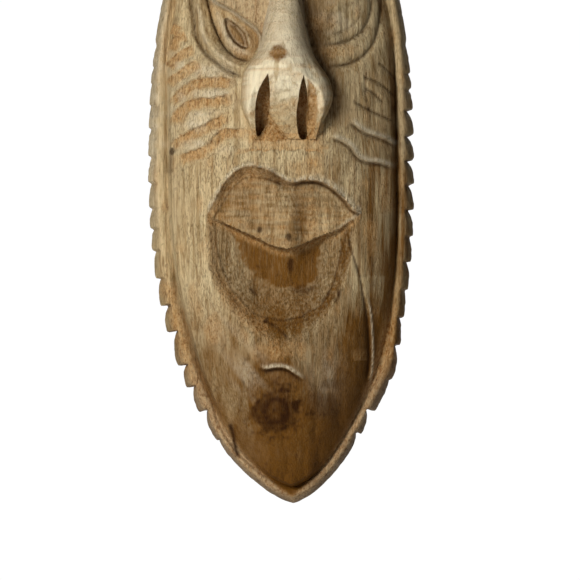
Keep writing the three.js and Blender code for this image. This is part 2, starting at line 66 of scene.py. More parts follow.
# Each tooth's upper notch: its height and how deep it bites
TEETH_LEFT = (
    (301.5, 1), (288, 1), (277, 0.8), (262.5, 1.2), (247.5, 2), (228.5, 2.7), (211, 2.7), (194.5, 2.5),
    (180.5, 2.8), (166, 3), (147.5, 3.6), (129, 5.4), (111.5, 7), (89, 5.6), (75, 5.1), (58.5, 5.8),
    (40.5, 1.8),
)
TEETH_RIGHT = (
    (302, 1), (284, 1.5), (273.5, 2.2), (259.5, 4.5), (242.5, 5), (226, 5), (210, 4.4), (193, 4.2),
    (175.5, 2.8), (158.5, 3), (140, 2.4), (121.5, 3.1), (103, 3.7), (80.5, 1.8), (59, 6.4), (44.5, 4),
)
LAST_TOOTH = 12
# A tooth from its notch down to the next: share of the way, and share of the bite left there
TOOTH_PROFILE = (
    (0, 1), (0.08, 0.76), (0.22, 0.44), (0.45, 0.17), (0.72, 0.03), (0.86, 0), (0.95, 0.12), (1, 1),
)
# Beyond this share of a tooth its own bite gives way to the next one's
NEXT_BITE_FROM = 0.7
NOTCH_RUN_UP = 5

# The groove inside the rim lies at a different inset from the edge down each side: height, inset
GROOVE_LEFT = (
    (0, 11), (12, 8.5), (30, 6.5), (45, 8), (60, 11.5), (110, 14), (160, 13), (240, 13.3), (270, 11.2),
    (287, 9.3), (333, 7.5), (457, 8),
)
GROOVE_RIGHT = (
    (0, 11), (12, 9), (30, 9), (45, 9.5), (70, 10), (100, 8), (130, 10), (200, 12), (260, 12.3), (290, 10.5),
    (333, 8), (457, 8),
)
# Across the rim: share of the way from the edge to the groove, depth, and how far the teeth reach up it
RIM_PROFILE = (
    (0, 0, 1), (0, 5, 1), (0, 11, 1), (0.1, 15.5, 0.97), (0.2, 19, 0.85), (0.3, 22, 0.65), (0.4, 24, 0.4),
    (0.5, 25.3, 0.15), (0.6, 25.9, 0.04), (0.7, 26, 0), (0.82, 25.7, 0), (0.92, 24.6, 0),
)
# The groove is a faint valley down the left and a clear crease down the right
GROOVE_DEPTH_LEFT, GROOVE_DEPTH_RIGHT = 24, 22.8

# Mesh fineness
EDGE_STEP = 1.02
CROWN_STEP = 2.2
FINE_BELOW_H = 345
FACE_RINGS = 78
NOSE_ROWS, NOSE_COLUMNS = 116, 88


# ---- Curves, noise and other helpers ----


def smooth(low, high, value):
    t = np.clip((value - low) / (high - low), 0, 1)
    return t * t * (3 - 2 * t)


def bell(*offsets):
    return np.exp(-sum(np.square(offset) for offset in offsets))


def level(points, at):
    """Straight lines through points, read at the given places."""
    table = np.array(points, float)
    table = table[np.argsort(table[:, 0], kind="stable")]
    return np.interp(at, table[:, 0], table[:, 1])


def flowing(points, steps=10):
    """A smooth curve through points."""
    p = np.array(points, float)
    p = np.vstack([2 * p[0] - p[1], p, 2 * p[-1] - p[-2]])
    t = np.linspace(0, 1, steps, endpoint=False)[:, None]
    out = []
    for a, b, c, d in zip(p, p[1:], p[2:], p[3:]):
        square, cube = 2 * a - 5 * b + 4 * c - d, 3 * b - a - 3 * c + d
        out.append(0.5 * (2 * b + (c - a) * t + square * t**2 + cube * t**3))
    return np.vstack([*out, p[-2]])


FAR = 1e3
NO_LENGTH = 1e-9
LATTICE_SIZE = 128


def near(points, x, h, reach=14):
    """Distance to a smooth curve, which side of it (left of its run is positive), and how far along it."""
    path = flowing(points)
    distance = np.full(x.shape, FAR)
    side = np.zeros(x.shape)
    along = np.zeros(x.shape)
    low, high = path.min(0) - reach, path.max(0) + reach
    close = (x > low[0]) & (x < high[0]) & (h > low[1]) & (h < high[1])
    px, ph = x[close], h[close]
    best, best_side, best_along = np.full(px.shape, FAR), np.zeros(px.shape), np.zeros(px.shape)
    count = len(path) - 1
    for i, (a, b) in enumerate(zip(path, path[1:])):
        run = b - a
        length = max(run @ run, NO_LENGTH)
        t = np.clip(((px - a[0]) * run[0] + (ph - a[1]) * run[1]) / length, 0, 1)
        dx, dh = px - a[0] - t * run[0], ph - a[1] - t * run[1]
        d = np.hypot(dx, dh)
        nearer = d < best
        best = np.where(nearer, d, best)
        best_side = np.where(nearer, np.sign(run[0] * dh - run[1] * dx), best_side)
        best_along = np.where(nearer, (i + t) / count, best_along)
    distance[close], side[close], along[close] = best, best_side, best_along
    return distance, side, along


def tapered(along, ends=0.25):
    """1 along a stroke, falling to 0 at both its ends."""
    return smooth(0, ends, along) * smooth(0, ends, 1 - along)


def inside(points, x, h):
    """Whether places lie inside a closed smooth outline."""
    path = flowing([*points, points[0]], 6)
    found = np.zeros(x.shape, bool)
    for (x0, h0), (x1, h1) in zip(path, np.roll(path, -1, 0)):
        crosses = (h0 > h) != (h1 > h)
        with np.errstate(divide="ignore", invalid="ignore"):
            found ^= crosses & (x < (x1 - x0) * (h - h0) / (h1 - h0) + x0)
    return found


def wander(seed, u, v):
    """Smooth random unevenness from -1 to 1, about one swing for each unit of u and v."""
    size = LATTICE_SIZE
    lattice = np.random.RandomState(seed).uniform(-1, 1, (size, size))
    iu, iv = np.floor(u).astype(int), np.floor(v).astype(int)
    fu, fv = smooth(0, 1, u - iu), smooth(0, 1, v - iv)

    def corner(du, dv):
        return lattice[(iu + du) % size, (iv + dv) % size]

    low = corner(0, 0) * (1 - fu) + corner(1, 0) * fu
    high = corner(0, 1) * (1 - fu) + corner(1, 1) * fu
    return low * (1 - fv) + high * fv


# ---- The block ----


def from_widest(h):
    """Whether a height lies below the widest one, and its share of the way to the chin or the crown."""
    below = h < WIDEST_H
    away = np.where(below, (WIDEST_H - h) / WIDEST_H, (h - WIDEST_H) / (HEIGHT - WIDEST_H))
    return below, np.clip(away, 0, 1)


def half_width(h):
    below, away = from_widest(h)
    to_chin = (1 - away**CHIN_POWER) ** CHIN_ROOT
    to_crown = (1 - away**CROWN_POWER) ** CROWN_ROOT
    return HALF_WIDTH * np.where(below, to_chin, to_crown)


def lean(h):
    """The chin leans a little to the viewer's right."""
    chin = CHIN_LEAN * (1 - np.clip(h / WIDEST_H, 0, 1)) ** LEAN_POWER
    tip = TIP_LEAN * (1 - np.clip(h / TIP_TOP_H, 0, 1)) ** LEAN_POWER
    return MIDDLE_X + chin + tip


def edge_x(side, h):
    swell = 4 * bell((h - 86) / 24) if side > 0 else 0
    return lean(h) + side * half_width(h) + swell


def bite_at(teeth, h):
    """How deep the toothed edge is bitten at a height."""
    notches = [t[0] for t in teeth] + [teeth[-1][0] - LAST_TOOTH]
    bites = [t[1] for t in teeth] + [0]
    total = np.zeros(np.shape(h))
    for k, (top, bottom) in enumerate(zip(notches, notches[1:])):
        share = (top - h) / (top - bottom)
        here = (share >= 0) & (share < 1)
        profile = level(TOOTH_PROFILE, share)
        depth = np.where(share < NEXT_BITE_FROM, bites[k], bites[k + 1])
        total = np.where(here, profile * depth, total)
    above = (h - notches[0]) / NOTCH_RUN_UP
    return np.where((above >= 0) & (above < 1), bites[0] * (1 - smooth(0, 1, above)), total)


def crown(h):
    """How far the middle of the face stands above the rim."""
    below, away = from_widest(h)
    return FACE_CROWN * np.where(below, (1 - away**2.6) ** 0.8, (1 - away**3) ** 0.7)


def dome(x, h):
    """The plain face, before anything is cut into it."""
    reach = np.maximum(half_width(h) - 9.5, 1)
    u = np.clip(np.abs(x - lean(h)) / reach, 0, 1)
    steepness = 0.6 + 0.12 * smooth(-10, 40, x) + 0.25 * smooth(95, 40, h)
    plain = RIM_DEPTH - 3 + (crown(h) + 3) * (1 - u**2.5) ** steepness
    sockets = 10 * bell((np.abs(x) - 27) / 30, (h - 322) / 34)
    chin = 7 * bell((x - lean(h)) / 34, (h - 70) / 30)
    return plain - sockets + chin


# ---- Eyes and brows ----

ORBIT_LEFT = (
    (-50, 356), (-57, 346), (-60.5, 329), (-58.5, 319), (-57.3, 309.5), (-54.7, 301.7), (-51.5, 296.5),
    (-45.6, 290.6), (-37.2, 284), (-30.7, 281), (-25.5, 279.5),
)
LID_LOW = (
    (-51.5, 338), (-48.9, 325.7), (-46.3, 316), (-42.4, 306), (-37.8, 298), (-32.6, 293.2), (-27.5, 290.6),
    (-21, 290),
)
LID_HIGH = (
    (-51.5, 338), (-45, 328.5), (-34, 322.4), (-24.2, 315.3), (-17.1, 309.4), (-14.5, 303), (-16, 294.5),
)
SLIT_LOW = (
    (-37.9, 318.8), (-37.8, 315), (-37, 310.7), (-35, 306.6), (-32.3, 302.5), (-27.7, 298.8), (-22.5, 297.3),
)
SLIT_HIGH = ((-37.9, 318.8), (-34, 316), (-30, 313), (-26.9, 309.8), (-24.7, 306), (-22.5, 297.3))
LASH = ((-52.5, 308), (-51, 302), (-47.5, 297))
ORBIT_RIGHT = (
    (54, 356), (61, 346), (64, 329), (63.4, 320), (61.4, 309.4), (58.2, 301), (51.7, 293.2), (40.7, 287.4),
    (25.7, 286),
)
RIGHT_LID_LOW = (
    (56, 338), (57.5, 329), (56.9, 321), (54.3, 314.6), (50.4, 308.8), (43.9, 304.3), (37.4, 301.7),
    (24, 300),
)
RIGHT_LID_HIGH = ((56, 338), (47, 331), (37, 326), (28, 319), (22, 310), (21, 303), (24, 300))
RIGHT_ARC = ((52, 323), (46.5, 314.6), (38.7, 309.4), (30.9, 306.8))
BROW = ((6, 352), (14, 364), (28, 373), (44, 375), (58, 364), (67, 348), (71, 336))
BROW_HEIGHT, BROW_BREADTH = 6.5, 7


def groove(line, x, h, depth, width, ends=0.25):
    """A V-shaped cut, softened where its walls meet the face."""
    d, _, along = near(line, x, h)
    return -depth * np.exp(-np.abs(d) / width) * smooth(14, 5, d) * tapered(along, ends)


def between(low, high, x, h):
    """Whether places lie between two lines that meet at both ends."""
    return inside((*low, *high[-2:0:-1]), x, h)


def eyes(x, h):
    out = groove(ORBIT_LEFT, x, h, 5.4, 3.0, 0.12)
    out += groove(LID_LOW, x, h, 5.2, 2.7, 0.1)
    out += groove(LASH, x, h, 1.2, 1.0)
    # The carved band between them swells, and a crisp lip runs along its outer groove
    d, side, along = near(ORBIT_LEFT, x, h)
    out += 2.4 * bell((d * side - 5) / 2.4) * tapered(along, 0.12)
    out += 1.1 * bell((d * side + 2.6) / 1.2) * tapered(along, 0.2)
    left_eye = between(LID_LOW, LID_HIGH, x, h)
    d_high, _, along = near(LID_HIGH, x, h)
    out += 3.2 * bell(d_high / 1.2) * tapered(along, 0.08)
    d_low, _, _ = near(LID_LOW, x, h)
    d_rim = np.minimum(d_high, d_low)
    out += np.where(left_eye, -2.6 * smooth(0, 1.6, d_high) + 2.2 * smooth(2, 9, d_rim), 0)
    slit = between(SLIT_LOW, SLIT_HIGH, x, h)
    d_slit = np.minimum(near(SLIT_LOW, x, h)[0], near(SLIT_HIGH, x, h)[0])
    lens = -3.2 * smooth(-0.3, 1.2, d_slit) + 2.4 * smooth(1.2, 4.2, d_slit)
    out += np.where(slit, lens, -0.7 * bell(d_slit / 0.9))

    out += groove(ORBIT_RIGHT, x, h, 3.2, 1.8, 0.12)
    out += groove(RIGHT_LID_LOW, x, h, 2.8, 1.7, 0.2)
    out += groove(RIGHT_ARC, x, h, 1.4, 1.8, 0.3)
    d_high, _, along = near(RIGHT_LID_HIGH, x, h)
    out += 1.2 * bell(d_high / 2.4) * tapered(along, 0.1)
    for side in (-1, 1):
        line = [(side * bx, bh) for bx, bh in BROW]
        d, _, along = near(line, x, h, 20)
        out += BROW_HEIGHT * bell(d / BROW_BREADTH) * tapered(along, 0.2)
    return out


# ---- Cheeks ----


# Broad shallow gouge cuts on the viewer's left, each from the rim towards the nose
LEFT_CUTS = (
    ((-72, 307.5), (-68.5, 314.5)),
    ((-73.5, 297), (-69.5, 304.5), (-63, 307.5)),
    ((-76, 286), (-73, 289.2), (-69, 292.5), (-64, 295.6), (-57, 298)),
    ((-76, 274.5), (-72, 278.5), (-65.5, 282.5), (-60, 286), (-53, 288.5)),
    (
        (-74, 260), (-69, 267), (-64.5, 271), (-60, 273.5), (-53.5, 275.5), (-46, 276.4), (-39, 276),
        (-30, 274.8),
    ),
    (
        (-74, 246), (-69, 255.3), (-64, 259.2), (-58.8, 261.8), (-52, 262.6), (-44.5, 263.2), (-38, 264),
        (-30, 266.5),
    ),
    ((-75, 233), (-68, 237.7), (-62.7, 240.7), (-56, 243.6), (-48.4, 246.6), (-42, 250), (-32, 255)),
    (
        (-72, 224.5), (-63, 227.3), (-56, 229.3), (-50, 232), (-45, 236), (-41, 240.3), (-37, 242.6),
        (-30, 242.6), (-20, 241.6),
    ),
)
# Narrow knife cuts on the viewer's right
RIGHT_CUTS = (
    ((61.5, 289.5), (67.5, 285.4), (74.1, 278.5)),
    ((51, 279.8), (60, 277), (66.6, 273), (73.5, 267)),
    ((53, 272.2), (59.5, 268.6), (65.5, 262.5)),
    ((44.5, 264.3), (51.7, 260), (58.2, 257), (66, 253.7), (72.5, 250.8)),
)
# Knife cuts with a ridge above them, made pale by a painted highlight
RIGHT_RIDGES = (
    ((42.5, 250.5), (49, 245.2), (54.3, 242), (60.8, 240), (67.3, 238), (74.5, 234)),
    (
        (29, 239.6), (37.4, 236.8), (43.3, 233), (46.5, 228.4), (50.4, 225), (55.6, 223.2), (63.4, 222.5),
        (74.5, 219),
    ),
)
RIGHT_SPLIT = ((54, 284), (53.2, 272), (55, 262), (57, 256))
CRACK = (
    (41.5, 180), (43.9, 168), (46.5, 160), (49.7, 150.5), (52, 137.5), (54.3, 124.5), (55.6, 108), (55.6, 92),
    (53.5, 76),
)
LEFT_CUT_DEPTH, RIGHT_CUT_DEPTH, RIGHT_SPLIT_DEPTH = 2.1, 1.5, 0.8
RIDGE_HEIGHT, RIDGE_DROP = 1.9, 2.6


def left_cut(k, x, h):
    """How deep in one of the left cheek's cuts: sharp at its upper edge, running out softly below."""
    d, side, along = near(LEFT_CUTS[k], x, h)
    offset = d * side + 0.7 * wander(60 + k, x / 2.5, h / 2.5)
    return smooth(3.6, 2.5, offset) * smooth(-8, -1, offset) * tapered(along, 0.14), offset


def cheeks(x, h):
    out = np.zeros(x.shape)
    for k in range(len(LEFT_CUTS)):
        floor, _ = left_cut(k, x, h)
        out -= LEFT_CUT_DEPTH * floor * (1 + 0.3 * wander(40 + k, x / 2.2, h / 5))
    for cut in RIGHT_CUTS:
        out += groove(cut, x, h, RIGHT_CUT_DEPTH, 1.0, 0.15)
    out += groove(RIGHT_SPLIT, x, h, RIGHT_SPLIT_DEPTH, 0.9)
    for ridge in RIGHT_RIDGES:
        d, side, along = near(ridge, x, h)
        offset = d * side
        ends = tapered(along, 0.12)
        above = RIDGE_HEIGHT * np.exp(-np.clip(offset - 1.0, 0, None) / 4.5)
        below = -RIDGE_DROP * np.exp(-np.clip(0.2 - offset, 0, None) / 3.6)
        out += ends * (below + (above - below) * smooth(0.1, 1.1, offset)) * smooth(14, 9, d)
    d, side, along = near(CRACK, x, h)
    offset = d * side
    open_wide = 0.8 + 1.6 * smooth(0.4, 0.85, along)
    out -= (1.2 + 2.0 * smooth(0.35, 0.75, along)) * bell(offset / open_wide) * tapered(along, 0.12)
    out += 1.6 * bell((offset - 3.0) / 0.8) * smooth(0.5, 0.62, along) * tapered(along, 0.1)
    return out


# ---- Mouth and chin ----


LIP_TOP = (
    (-49.5, 189.4), (-44.3, 199.8), (-37.8, 210.8), (-28.8, 219.3), (-19.7, 221.2), (-9.3, 218.6),
    (0.4, 212.8), (6.9, 210.8), (13.4, 212.1), (23.1, 211.5), (32.2, 206.9), (40, 199.8), (45.2, 193.3),
    (51, 190.7),
)
LIP_EDGE = (
    (-49.5, 189.2), (-37.2, 183.6), (-27.5, 179), (-15.8, 173.9), (-6.7, 169.3), (3.7, 167.4), (13.4, 170.6),
    (23.1, 175.2), (34.2, 179), (40.7, 183.6), (51, 190.5),
)
SCOOP_FOOT = (
    (-50.5, 189), (-49.8, 166), (-47, 148), (-40, 133), (-29, 119), (-18, 110), (-7, 105), (6, 105),
    (17, 110), (27, 120), (36, 134), (43, 152), (47, 170), (51, 190.3),
)
LEDGE = ((-17, 91.8), (-11.3, 89.6), (-4.8, 90.6), (1.7, 90), (8.2, 86.2), (15.5, 81))
GOUGE = ((-35.5, 54.5), (-33, 46.4), (-31.7, 38.6), (-29.5, 30))
KNOT = (-5.4, 62.5, 15.5, 14.5)  # its middle, and its half width and half height
KNOT_SEED = 70
LIP_WALL_DEPTH = 8
TUBERCLE = 5.5
SCOOP_DEPTH = 10.5
UNDER_LIP = 3.0
# The bulge in the middle of the lip: its place, and its breadth to the left and to the right
TUBERCLE_X, TUBERCLE_LEFT, TUBERCLE_RIGHT = 4.5, 12, 6.5


def tubercle(x):
    """How far the middle of the upper lip bulges forward."""
    breadth = np.where(x < TUBERCLE_X, TUBERCLE_LEFT, TUBERCLE_RIGHT)
    return TUBERCLE * bell((x - TUBERCLE_X) / breadth)


def lip_wall_width(x):
    """The wall down from the lip's line is broad at the left and thin at the right."""
    return 2.4 + 4.8 * bell((x + 22) / 20) + 1.0 * smooth(-30, -45, x)


def mouth_parts(x, h):
    """Heights of the lip's line, its lower edge and the scoop's foot, with the distance to the lip's line."""
    top, edge, foot = (level(flowing(line, 6), x) for line in (LIP_TOP, LIP_EDGE, SCOOP_FOOT))
    within = (x > LIP_TOP[0][0]) & (x < LIP_TOP[-1][0])
    d_top, _, _ = near(LIP_TOP, x, h, 30)
    # Sideways distance in from the scoop's edge: steep at the left, gentle below and at the right
    inward = np.minimum((h - foot) * 0.75, np.where(x < 0, (x + 50.5) * 1.5, 50.5 - x))
    return top, edge, foot, within, d_top, inward


def mouth(x, h):
    top, edge, foot, within, d_top, inward = mouth_parts(x, h)
    lip = within & (h < top) & (h >= edge)
    up = np.clip((h - edge) / np.maximum(top - edge, 1), 0, 1)
    tall = smooth(0.5, 26, top - edge)
    sink = LIP_WALL_DEPTH * smooth(0, 1, d_top / lip_wall_width(x)) * tall
    # The lip's face comes forward again towards its rounded lower edge
    fall = sink * (0.25 + 0.75 * up) + 1.2 * tall * smooth(3.5, 0, h - edge)
    out = np.where(lip, tubercle(x) * smooth(1.0, 0.5, up) - fall, 0)

    scoop = within & (h < edge)
    room = np.clip((edge - foot) / 20, 0, 1)
    bowl = smooth(0, 30, inward)
    under = smooth(0, 2.2, edge - h)
    deep = UNDER_LIP * under * smooth(0, 12, inward) + SCOOP_DEPTH * bowl
    at_lip = room * tubercle(x) * smooth(26, 0, edge - h) * 0.5
    out = np.where(scoop, at_lip - room * deep, out)
    # Torn fibres stand along the upper lip's line
    torn = bell((d_top - 0.8) / (1.3 + 0.9 * smooth(10, 20, x))) * within * (h > top - 1)
    out += torn * (0.8 + 1.0 * wander(21, x / 0.9, h / 2.5))
    # Saw-like tears run across the lip's face
    out += lip * 0.18 * wander(22, x / 9, h / 1.1) * (up < 0.8)
    return out


def from_knot(x, h):
    """Distance from the middle of the chin's knot, which is a little broader than tall."""
    return np.hypot((x - KNOT[0]) / 1.1, h - KNOT[1])


def chin_cuts(x, h):
    d, side, along = near(LEDGE, x, h, 34)
    ends = tapered(along, 0.35)
    above = 3.0 * bell(d / 11)
    below = -2.6 * smooth(0, 1.6, d) * bell(d / 12)
    out = ends * np.where(side > 0, above, 3.0 * smooth(1.6, 0, d) + below)
    out += groove(GOUGE, x, h, 3.6, 1.4, 0.35)
    # A broad hollow sweeps down the left of the chin, and another runs down the right
    out -= 2.2 * bell((x + 44 - (112 - h) * 0.3) / 9, (h - 112) / 22)
    out -= 1.8 * bell((x - 58) / 9, (h - 100) / 34)
    # The knot stands a little proud, in a ring-shaped dent
    r = from_knot(x, h)
    return out + 1.0 * bell(r / 9) - 0.6 * bell((r - KNOT[3]) / 2.2)


# ---- Tool marks ----


def tool_marks(x, h):
    """Shallow facets left by knife and gouge, and the lift of the grain."""
    facets = np.abs(wander(3, x / 9 + 0.6 * wander(4, x / 30, h / 30), h / 26)) - 0.3
    small = np.abs(wander(8, x / 4 + h / 40, h / 8)) - 0.3
    ripple = wander(5, x / 4.5, h / 11)
    fibre = wander(6, x / 1.3, h / 16)
    rim = smooth(18, 6, np.abs(half_width(h) - np.abs(x - lean(h))))
    broad = 1.1 * facets + 0.5 * small + 0.22 * ripple + 0.14 * fibre
    return broad + 0.45 * rim * (wander(7, x / 2.6, h / 5) + 0.4 * wander(9, x / 1.4, h / 2))


def relief(x, h):
    return dome(x, h) + eyes(x, h) + cheeks(x, h) + mouth(x, h) + chin_cuts(x, h) + tool_marks(x, h)


# Sharp edges of the carving, on which mesh points are drawn
SHARP_LINES = (LID_LOW, LID_HIGH, SLIT_LOW, SLIT_HIGH, LIP_TOP, LIP_EDGE, *RIGHT_RIDGES)


def snapped(x, h, within=0.5, share=0.88):
    """Mesh points close to a sharp edge are drawn towards it, so that the edge runs clean."""
    for line in SHARP_LINES:
        path = flowing(line, 16)
        low, high = path.min(0) - 1, path.max(0) + 1
        close = np.where((x > low[0]) & (x < high[0]) & (h > low[1]) & (h < high[1]))
        places = np.stack([x[close], h[close]], -1)
        best = np.full(len(places), FAR)
        target = places.copy()
        for a, b in zip(path, path[1:]):
            run = b - a
            t = np.clip(((places - a) @ run) / max(run @ run, NO_LENGTH), 0, 1)
            foot = a + t[:, None] * run
            d = np.hypot(*(places - foot).T)
            nearer = d < best
            best = np.where(nearer, d, best)
            target = np.where(nearer[:, None], foot, target)
        moved = np.where((best < within)[:, None], places + (target - places) * share, places)
        x[close], h[close] = moved[:, 0], moved[:, 1]
    return x, h


# ---- Meshes ----


def place(x, depth, h):
    return np.stack([x, -depth, h - HOOK_H], -1) * MM


def make_mesh(name, points, quads, triangles=()):
    mesh = bpy.data.meshes.new(name)
    faces = [tuple(face) for face in (*np.asarray(quads).tolist(), *np.asarray(triangles).tolist())]
    mesh.from_pydata(points.tolist(), [], faces)
    mesh.validate()
    piece = bpy.data.objects.new(name, mesh)
    bpy.context.collection.objects.link(piece)
    return piece


def ring_quads(rings, count):
    """Faces between rings of points, each ring closed on itself."""
    k = np.arange(count)
    following = (k + 1) % count
    starts = [ring * count for ring in range(rings)]
    pairs = zip(starts, starts[1:])
    return np.vstack([np.stack([a + k, b + k, b + following, a + following], -1) for a, b in pairs])


def capped_tube(name, rings, caps):
    """A closed surface of rings of points from end to end, with one more point to close each end."""
    count = len(rings[0])
    body = np.vstack(rings)
    k = np.arange(count)
    following = (k + 1) % count
    start = (len(rings) - 1) * count
    triangles = np.vstack([
        np.stack([np.full(count, len(body)), k, following], -1),
        np.stack([np.full(count, len(body) + 1), start + following, start + k], -1),
    ])
    piece = make_mesh(name, np.vstack([body, caps]), ring_quads(len(rings), count), triangles)
    weld(piece)
    return piece


def edge_heights():
    """Heights down one side, evenly spaced along the edge, closer below the crown."""
    h = HEIGHT * (1 + np.cos(np.linspace(0, np.pi, 6000))) / 2
    x = half_width(h)
    step = np.hypot(np.diff(x), np.diff(h))
    middle = (h[1:] + h[:-1]) / 2
    step /= np.where(middle > FINE_BELOW_H, CROWN_STEP, EDGE_STEP)
    run = np.concatenate([[0], np.cumsum(step)])
    count = int(run[-1])
    return np.interp(np.linspace(0, run[-1], count + 1), run, h)


def block_mesh():
    """The block with its flat back: rings run from the back's middle line, over the rim, to the face's."""
    down = edge_heights()
    last = len(down) - 1
    h = np.concatenate([down, down[-2:0:-1]])
    side = np.concatenate([np.ones(last + 1), -np.ones(last - 1)])
    side[0] = side[last] = 0
    right, left = side >= 0, side < 0
    edge = np.where(right, edge_x(1, h), edge_x(-1, h))
    edge = np.where(side == 0, lean(h), edge)
    bite = np.where(right, bite_at(TEETH_RIGHT, h), bite_at(TEETH_LEFT, h))
    bite += 0.25 * wander(11, h / 2.5 + 40 * left, h * 0)
    inset = np.where(right, level(GROOVE_RIGHT, h), level(GROOVE_LEFT, h))
    groove_depth = GROOVE_DEPTH_LEFT + (GROOVE_DEPTH_RIGHT - GROOVE_DEPTH_LEFT) * smooth(-20, 20, edge)
    root_h = WIDEST_H + (h - WIDEST_H) * MIDDLE_SHARE
    root_x = lean(root_h)
    length = np.hypot(edge - root_x, h - root_h)

    def at_inset(distance):
        share = 1 - distance / length
        return root_x + (edge - root_x) * share, root_h + (h - root_h) * share

    rings = [place(root_x, 0 * h, root_h)]
    for share, depth, toothed in RIM_PROFILE:
        x_here, h_here = at_inset(share * inset + toothed * np.maximum(bite, 0))
        unevenness = 0.35 * wander(12, x_here / 7, h_here / 7) * (depth > 4)
        rings.append(place(x_here, depth + unevenness, h_here))
    for ring in range(FACE_RINGS + 1):
        x_here, h_here = at_inset(inset + (length - inset) * ring / FACE_RINGS)
        if 0 < ring < FACE_RINGS:
            x_here, h_here = snapped(x_here, h_here)
        depth = relief(x_here, h_here)
        near_groove = smooth(3.2, 0, ring * (length - inset) / FACE_RINGS)
        depth = depth * (1 - near_groove) + groove_depth * near_groove
        rings.append(place(x_here, depth, h_here))
    count = len(h)
    quads = ring_quads(len(rings), count)
    piece = make_mesh("carving_block", np.vstack(rings), quads)
    weld(piece)
    return piece


def weld(piece, within=0.01 * MM):
    edit = bmesh.new()
    edit.from_mesh(piece.data)
    bmesh.ops.remove_doubles(edit, verts=edit.verts, dist=within)
    bmesh.ops.recalc_face_normals(edit, faces=edit.faces)
    edit.to_mesh(piece.data)
    edit.free()


# ---- Nose ----


# Down the nose: height, left and right edge, and depth of the ridge
NOSE_SECTIONS = (
    (356, -6.5, 10.5, 50), (345, -8, 11.5, 57), (328.5, -9.3, 12.7, 66), (312, -13.2, 15.1, 75),
    (299.5, -14.8, 18, 81), (293, -17.5, 20, 84), (288, -22, 23, 86), (283.5, -25.3, 26, 87.3),
    (277, -27, 30.6, 87.5), (266, -27.8, 33, 87), (257.5, -26.8, 30.5, 86), (250, -23.8, 26.5, 84),
    (244.5, -21.2, 23.8, 82), (238.5, -19.2, 21.5, 80),
)
NOSE_FOOT, NOSE_OVERLAP = 38, 3
UNDERSIDE_TIP, UNDERSIDE_BASE = (283, 88), (239, 62)
NOSTRIL_LEFT = (
    (-9.8, 279.5), (-14.3, 272.2), (-16.9, 265), (-18.2, 253.5), (-17, 240.5), (-13.5, 243), (-10, 251),
    (-8.7, 258), (-8.5, 266.4), (-9, 274.7),
)
NOSTRIL_RIGHT = (
    (13.2, 279), (10.8, 271), (9.5, 261), (8.4, 251.5), (10.6, 239.5), (15.3, 239.5), (14.8, 250),
    (15.9, 258), (15.3, 268),
)
NOSTRIL_DEPTH = 11
NOSTRIL_MOUTH = 110  # in front of the nose
NOSTRIL_RINGS = 14
NOSTRIL_ROUGHNESS = 0.25
# Rough-cut hollows beside the nostrils
RAMP = ((-9.8, 256.8), (-6.6, 251.6), (-1.5, 245.2), (2.8, 238), (-14, 237), (-17, 240), (-13.1, 248))
BAND = (
    (15.2, 277.1), (19.1, 273.2), (22, 266), (22.3, 256.5), (21.7, 248.8), (19.8, 240), (14, 237), (13, 245),
    (14.5, 255.2), (15, 266),
)


def underside(h):
    (h0, d0), (h1, d1) = UNDERSIDE_BASE, UNDERSIDE_TIP
    return d0 + (h - h0) * (d1 - d0) / (h1 - h0)


def hollow_beside(outline, x, h, reach):
    """1 well inside an outline, falling to 0 at it."""
    path = (*outline, outline[0])
    d, _, _ = near(path, x, h, 20)
    return np.where(inside(outline, x, h), smooth(0, reach, d), 0)


def nose_columns(h):
    """The nose's left edge, right edge and ridge depth at a height."""
    heights, *columns = (np.array(column, float) for column in zip(*NOSE_SECTIONS[::-1]))
    return [np.interp(h, heights, column) for column in columns]


def evened(values, over=7):
    return np.convolve(np.pad(values, over // 2, "edge"), np.ones(over) / over, "valid")


def nose_mesh():
    h_line = np.linspace(NOSE_SECTIONS[0][0], NOSE_SECTIONS[-1][0], NOSE_ROWS)
    left, right, depth = (evened(values) for values in nose_columns(h_line))
    middle, half = (left + right) / 2, (right - left) / 2
    a = np.linspace(0, np.pi, NOSE_COLUMNS)
    # Points are spread evenly over the ridge as well as down the walls
    across = np.cos(a) * (1 - 0.12 * np.sin(a) ** 2)
    h = np.repeat(h_line[:, None], NOSE_COLUMNS, 1)
    x = middle[:, None] + half[:, None] * across[None]
    squareness = 0.42 - 0.15 * smooth(346, 324, h) - 0.07 * smooth(300, 276, h)
    rise = np.clip(1 - across[None] ** 2, 0, 1) ** squareness
    out = NOSE_FOOT + (depth[:, None] - NOSE_FOOT) * rise
    side = (x - middle[:, None]) / half[:, None]
    # A furrow parts each wing from the tip
    out -= 1.6 * bell((np.abs(side) - 0.62) / 0.15, (h - 281) / 7)
    out += 0.5 * (np.abs(wander(31, x / 6, h / 15)) - 0.3) + 0.1 * wander(32, x / 1.5, h / 9)
    chatter = 0.55 * wander(33, x / 6, h / 2) + 0.3 * wander(34, x / 1.3, h / 1.5)
    flat = underside(h) + chatter
    flat -= 3.6 * hollow_beside(RAMP, x, h, 3.5) + 2.0 * hollow_beside(BAND, x, h, 2.2)
    # The wings' rims stand round the flat underside
    flat += 1.8 * smooth(0.66, 0.8, np.abs(side)) * smooth(238, 256, h)
    out = np.minimum(out, flat)
    # Closed behind, inside the block
    back_x = np.concatenate([x, x[:, ::-1]], 1)
    back_d = np.concatenate([out, np.full_like(out, NOSE_FOOT - NOSE_OVERLAP)], 1)
    back_h = np.concatenate([h, h], 1)
    caps = place(middle[[0, -1]], np.full(2, NOSE_FOOT), h_line[[0, -1]])
    return capped_tube("nose_block", place(back_x, back_d, back_h), caps)


